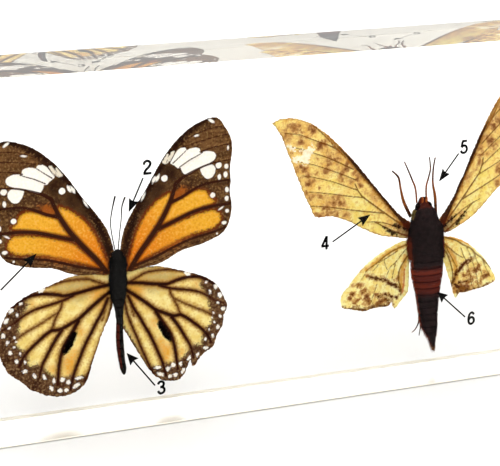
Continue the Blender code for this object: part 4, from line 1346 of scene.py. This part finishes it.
MOTH_BANDS = [
    ("#53211A", 20.4, 3.4, 0.9), ("#6E2E20", 22.4, 0.5, 0.5), ("#6A2A1C", 19.2, 0.5, 0.5),
    ("#6B4A2C", 4.0, 0.9, 0.7), ("#4A1E14", 38.2, 1.1, 0.75),
]
MOTH_BLACK = ("#1C1616", "#2A1F20")
BUTTERFLY_BLACK = ("#171616", "#201F1E")
# Painted rim light: the red-brown laid along the moth's left and right edges, below the shoulders.
MOTH_RIM_LIGHT_BROWN = "#7A321C"
TAIL_STAIN = "#4A1C14"
black_skin = insect_skin("butterfly_black_cuticle", [], BUTTERFLY_BLACK, 0.6, TAIL_STAIN)
black_hair = insect_skin("butterfly_black_hair", [], BUTTERFLY_BLACK, 0.9, TAIL_STAIN)
brown_skin = insect_skin("moth_dark_cuticle", MOTH_BANDS, MOTH_BLACK, 0.7, MOTH_RIM_LIGHT_BROWN)
brown_hair = insect_skin("moth_brown_fur", MOTH_BANDS, MOTH_BLACK, 0.9, MOTH_RIM_LIGHT_BROWN)
rust_fur = insect_skin("moth_rust_palps", [], ("#6A2A14", "#A85A28"), 0.8)
tan_fur = insect_skin("moth_tan_tuft", [], ("#5A4A22", "#8E7A40"), 0.9)
eye_horn = insect_skin("insect_eye", [], ("#080606", "#140E0C"), 0.35)
print("body materials: skin and hair of two insects, palps, tuft and eyes")

# %% [markdown]
# Hair grows in coats. Each covers a stretch of the body with its own count, length, width and lift: long
# and dense on the moth's back, short and standing on the butterfly's shoulders, thinner on both tails.
# Heights start at the block's base, and the places of eyes and palps are X, Y and Z from its middle.

# %% Bodies and fur
BUTTERFLY_RINGS = (24.5, 8.4, 9)
MOTH_RINGS = (25.0, 6.4, 12)
BUTTERFLY_COATS = [
    (24.6, 33.4, 1500, 1.0, 0.035, 0.30), (31.4, 33.7, 1200, 0.75, 0.035, 1.8),
    (33.4, 34.9, 260, 0.5, 0.03, 0.8), (9.0, 24.5, 700, 0.5, 0.022, 0.12),
]
MOTH_COATS = [
    (26.0, 35.6, 6500, 1.6, 0.05, 0.13), (28.0, 36.0, 900, 1.0, 0.035, 0.50),
    (35.0, 38.6, 900, 0.9, 0.04, 0.30), (7.0, 26.0, 2600, 0.7, 0.03, 0.08),
    (3.8, 8.5, 420, 1.0, 0.03, 0.1),
]
MOTH_EYES = [((26.4, 6.7, 37.3), (0.85, 1.0, 1.1)), ((28.75, 6.7, 37.3), (0.85, 1.0, 1.1))]
MOTH_PALPS = [((27.0, 5.9, 39.0), (0.30, 0.45, 0.75)), ((28.0, 5.9, 39.05), (0.30, 0.45, 0.75))]
BUTTERFLY_EYES = [((-42.95, 7.6, 34.1), (0.5, 0.65, 0.6)), ((-41.4, 7.6, 34.1), (0.5, 0.65, 0.6))]
TUFT_ROWS = np.array([(35.2, 25.2, 0.25, 6.6, 0.5), (36.9, 25.5, 0.3, 6.6, 0.6)])
TUFT_COATS = [(35.3, 36.9, 420, 1.1, 0.03, 0.5)]
FLANK, FLANK_FADE = 0.84, 0.14
SHOULDER, SHOULDER_FADE = 32.0, 3.0
STREAK_TOP, STREAK_BOTTOM, STREAK_FADE = 20.0, 8.5, 1.5
STREAK_SIDE, STREAK_SIDE_FADE = 0.1, 0.4


def moth_rim_light(side, height):
    """Painted rim light: red-brown along both flanks, below the shoulders."""
    return float(part_way(abs(side) - FLANK, FLANK_FADE) * part_way(SHOULDER - height, SHOULDER_FADE))


def butterfly_stain(side, height):
    """A red-brown streak down the left of the tail."""
    along = part_way(STREAK_TOP - height, STREAK_FADE) * part_way(height - STREAK_BOTTOM, STREAK_FADE)
    return float(along * part_way(-side - STREAK_SIDE, STREAK_SIDE_FADE))


def make_body(name, rows, rings, coats, stain, skin, hair, seed):
    """Build one body and its hair, and mark both with its seams and stain."""
    trunk = mark_body(body_mesh(f"{name}_trunk", rows, rings), rows, rings, stain)
    fur = mark_body(hair_mesh(f"{name}_fur", rows, coats, seed), rows, rings, stain)
    link_piece(f"{name}_trunk", trunk, skin, (f"{name}_body",))
    link_piece(f"{name}_fur", fur, hair)
    print(f"{name}: {len(rows)} sections, {len(fur.polygons)} hair faces")


make_body("butterfly", node_sections("butterfly_body"), BUTTERFLY_RINGS, BUTTERFLY_COATS,
          butterfly_stain, black_skin, black_hair, seed=11)
make_body("moth", node_sections("moth_body"), MOTH_RINGS, MOTH_COATS,
          moth_rim_light, brown_skin, brown_hair, seed=12)
link_piece("butterfly_eyes", bead_mesh("butterfly_eyes", BUTTERFLY_EYES), eye_horn)
link_piece("moth_eyes", bead_mesh("moth_eyes", MOTH_EYES), eye_horn)
link_piece("moth_palps", bead_mesh("moth_palps", MOTH_PALPS), rust_fur)
link_piece("moth_tuft", hair_mesh("moth_tuft", TUFT_ROWS, TUFT_COATS, seed=13), tan_fur)

# %% [markdown]
# Antennae and legs are thin tubes along smooth curves, thicker where a joint or a club is. The points
# repeat the routes of the CAD model, X and Z in millimetres, with the depth at which each lies.

# %% Antennae and legs
LIMB_Y = 7.7
LIMB_SIDES = 10
LIMB_STEPS = 12
LIMB_RINGS = 0.12
SLICE = 0.9
CLUBBED = (0.12, 0.11, 0.11, 0.14, 0.21)
TAPERED = (0.22, 0.22, 0.20, 0.18, 0.13)
SLENDER = (0.20, 0.20, 0.18, 0.16, 0.14, 0.10)
LIMBS = {
    "butterfly_antenna_left": (CLUBBED, [
        (-42.6, 35.0), (-43.2, 38.5), (-43.4, 41.0), (-43.0, 43.6), (-42.3, 46.4)]),
    "butterfly_antenna_right": (CLUBBED, [
        (-41.9, 35.0), (-41.5, 38.5), (-41.1, 41.5), (-40.9, 44.0), (-40.2, 46.0)]),
    "moth_antenna_left": (TAPERED, [
        (26.2, 38.2), (25.8, 41.4), (24.9, 43.6), (24.0, 45.6), (23.0, 47.7)]),
    "moth_antenna_right": (TAPERED, [
        (28.5, 38.6), (28.4, 41.6), (28.9, 43.6), (29.3, 45.6), (29.0, 48.2)]),
    "moth_foreleg_left": ((0.40, 0.38, 0.26, 0.24, 0.22, 0.16), [
        (24.8, 35.2), (23.1, 38.6), (22.3, 41.4), (21.8, 43.9), (21.2, 44.9), (20.1, 45.9)]),
    "moth_foreleg_right": ((0.38, 0.36, 0.24, 0.20, 0.16), [
        (30.9, 35.4), (30.6, 39.2), (30.0, 42.2), (30.0, 45.4), (30.4, 48.0)]),
    "moth_hindleg_left": (SLENDER, [
        (28.4, 17.0), (28.3, 14.4), (28.1, 12.0), (27.7, 9.9), (27.0, 8.6), (26.2, 8.0)]),
    "moth_hindleg_right": (SLENDER, [
        (29.5, 17.0), (29.2, 14.2), (28.8, 11.6), (28.4, 9.6), (28.2, 8.2), (28.0, 7.0)]),
}


def limb_depths(name, path):
    """Depth of each point of a limb: at the wings' level, or for a hind leg where its CAD node lies."""
    if "hindleg" not in name:
        return np.full(len(path), LIMB_Y)
    corners = np.array([vertex.co for vertex in nodes[name].data.vertices]) / MM
    return np.array([corners[abs(corners[:, 2] - z) < SLICE, 1].mean() for _, z in path])


def limb_mesh(name, widths, points):
    """A tube along a smooth curve, ringed by letting every other section swell a little."""
    path = curve_through(points, closed=False, steps=LIMB_STEPS)
    depths = limb_depths(name, path)
    radii = np.interp(np.linspace(0, 1, len(path)), np.linspace(0, 1, len(widths)), widths)
    bm = bmesh.new()
    skin = []
    for index, ((x, z), y, radius) in enumerate(zip(path, depths, radii)):
        ahead = path[min(index + 1, len(path) - 1)] - path[max(index - 1, 0)]
        along = ahead / np.linalg.norm(ahead)
        size = radius * (1.0 + LIMB_RINGS * math.cos(math.pi * index))
        ring = []
        for k in range(LIMB_SIDES):
            angle = math.tau * k / LIMB_SIDES
            aside = size * math.cos(angle)
            ring.append(bm.verts.new(((x + along[1] * aside) * MM, (y + size * math.sin(angle)) * MM,
                                      (z - along[0] * aside) * MM)))
        skin.append(ring)
    skin_rings(bm, skin)
    bmesh.ops.recalc_face_normals(bm, faces=bm.faces[:])
    mesh = finished_mesh(bm, name)
    mesh.shade_smooth()
    return mesh


black_horn = insect_skin("butterfly_black_horn", [], ("#100D0C", "#241E1C"), 0.55)
brown_horn = insect_skin("moth_brown_horn", [("#8A4A1E", 40.5, 3.0, 0.6)], ("#2A130C", "#5E3018"), 0.5)
for limb_name, (limb_widths, limb_points) in LIMBS.items():
    of_moth = limb_name.startswith("moth")
    link_piece(f"{limb_name}_ringed", limb_mesh(limb_name, limb_widths, limb_points),
               brown_horn if of_moth else black_horn,
               (limb_name,))
print("limbs:", len(LIMBS))

# %% [markdown]
# The numbers and arrows are taken for black ink on a clear film that lies in the resin. They cover the
# wings, so the film is in front of the insects, but how far is a guess. Each digit is a few pen strokes
# along smooth centre lines, and each arrow is a thin strip with a notched head. They were traced on the
# insects' plane. The film lies nearer the viewer, so each point slides along its line of sight in the
# resin to where it crosses the film.

# %% Ink labels
INK_Y = 3.0
INK_THICKNESS = 0.04
SIGHT_X, SIGHT_Z = -0.239, 0.192
INSECT_Y = 8.0
STROKE_WIDTH = 0.54
STROKE_STEPS = 6
DIGIT_SCALE = 1.06
SHAFT_WIDTH = 0.34
HEAD_LENGTH = 2.8
HEAD_WIDTH = 2.3
HEAD_NOTCH = 0.35
DIGITS = {
    "1": [[(0.30, 2.14), (0.72, 2.36), (0.96, 2.80)], [(0.98, 2.88), (0.98, 0.02)]],
    "2": [[(0.24, 1.96), (0.34, 2.42), (0.86, 2.68), (1.40, 2.44), (1.50, 1.96), (1.14, 1.40), (0.60, 0.90),
           (0.28, 0.26)], [(0.08, 0.21), (1.72, 0.21)]],
    "3": [[(0.26, 2.14), (0.48, 2.56), (0.92, 2.69), (1.36, 2.46), (1.42, 1.98), (1.14, 1.62), (0.70, 1.53)],
          [(0.70, 1.53), (1.26, 1.42), (1.56, 0.98), (1.44, 0.46), (0.98, 0.21), (0.54, 0.28), (0.22, 0.78)]],
    "4": [[(1.22, 0.0), (1.22, 2.86)], [(1.16, 2.66), (0.24, 0.80)], [(0.08, 0.76), (1.74, 0.76)]],
    "5": [[(1.54, 2.69), (0.44, 2.69)], [(0.56, 2.69), (0.34, 1.40)],
          [(0.34, 1.40), (0.80, 1.74), (1.32, 1.58), (1.56, 1.02), (1.36, 0.42), (0.86, 0.21), (0.44, 0.34),
           (0.20, 0.72)]],
    "6": [[(1.48, 2.20), (1.26, 2.58), (0.88, 2.69), (0.46, 2.36), (0.26, 1.66), (0.28, 0.86), (0.50, 0.36),
           (0.92, 0.21), (1.36, 0.44), (1.54, 0.94), (1.34, 1.46), (0.92, 1.68), (0.48, 1.44), (0.30, 1.06)]],
}
LABELS = {
    "1": {"digit": (-67.8, 27.4), "shaft": ((-66.3, 29.2), (-58.7, 36.0))},
    "2": {"digit": (-36.0, 50.15), "shaft": ((-36.0, 49.5), (-39.2, 42.6))},
    "3": {"digit": (-33.8, 2.15), "shaft": ((-34.2, 4.3), (-40.3, 12.4))},
    "4": {"digit": (3.5, 29.85), "shaft": ((6.2, 31.4), (15.0, 36.6))},
    "5": {"digit": (36.1, 48.0), "shaft": ((35.8, 48.2), (31.2, 42.3))},
    "6": {"digit": (39.3, 8.4), "shaft": ((38.7, 10.4), (31.5, 17.2))},
}


def printing_ink():
    """Flat black printing ink, a touch uneven where it was laid on."""
    material, tree = new_material("black_printing_ink")
    grain = scale_noise(tree, 0.5)
    tone = ramp(tree, grain, 0.3, 0.7, "#0A0A0A", "#141414")
    surface = add(tree, "BsdfPrincipled", {},
                  {"Base Color": tone, "Roughness": 0.6, "Specular IOR Level": 0.0})
    add(tree, "OutputMaterial", {}, {"Surface": surface})
    return material


def on_film(point):
    """Slide a traced point along its line of sight onto the film."""
    nearer = INSECT_Y - INK_Y
    return np.array([point[0] + SIGHT_X * nearer, point[1] + SIGHT_Z * nearer])


def add_plate(bm, outline):
    """Add a flat closed plate of ink from its outline."""
    front = [bm.verts.new((x * MM, (INK_Y - INK_THICKNESS / 2) * MM, z * MM)) for x, z in outline]
    back = [bm.verts.new((x * MM, (INK_Y + INK_THICKNESS / 2) * MM, z * MM)) for x, z in outline]
    bm.faces.new(front)
    bm.faces.new(back[::-1])
    for k in range(len(front)):
        bm.faces.new((front[k], front[k - 1], back[k - 1], back[k]))


def add_arrow(bm, tail, tip):
    """Add an arrow from its tail to its tip: a strip and a notched head."""
    along = (tip - tail) / np.linalg.norm(tip - tail)
    aside = np.array([-along[1], along[0]])
    neck = tip - along * HEAD_LENGTH
    notch = neck + along * HEAD_NOTCH
    half = aside * SHAFT_WIDTH / 2
    wing = aside * HEAD_WIDTH / 2
    add_plate(bm, [tail - half, notch - half, notch + half, tail + half])
    add_plate(bm, [notch, neck - wing, tip, neck + wing])


def add_digit(bm, text, corner):
    """Add a digit as pen strokes, its lower left corner at a point of the film."""
    for stroke in DIGITS[text]:
        steps = STROKE_STEPS if len(stroke) > 2 else 1
        path = corner + DIGIT_SCALE * curve_through(stroke, closed=False, steps=steps)
        ahead = np.gradient(path, axis=0)
        along = ahead / np.linalg.norm(ahead, axis=1)[:, None]
        aside = np.column_stack([-along[:, 1], along[:, 0]]) * STROKE_WIDTH / 2
        left, right = path + aside, path - aside
        for k in range(len(path) - 1):
            add_plate(bm, [left[k], left[k + 1], right[k + 1], right[k]])


ink = printing_ink()
for label_text, places in LABELS.items():
    label = bmesh.new()
    add_digit(label, label_text, on_film(places["digit"]))
    add_arrow(label, *(on_film(point) for point in places["shaft"]))
    bmesh.ops.recalc_face_normals(label, faces=label.faces[:])
    name = f"label_{label_text}"
    link_piece(name, finished_mesh(label, name), ink)
print("labels:", ", ".join(LABELS))
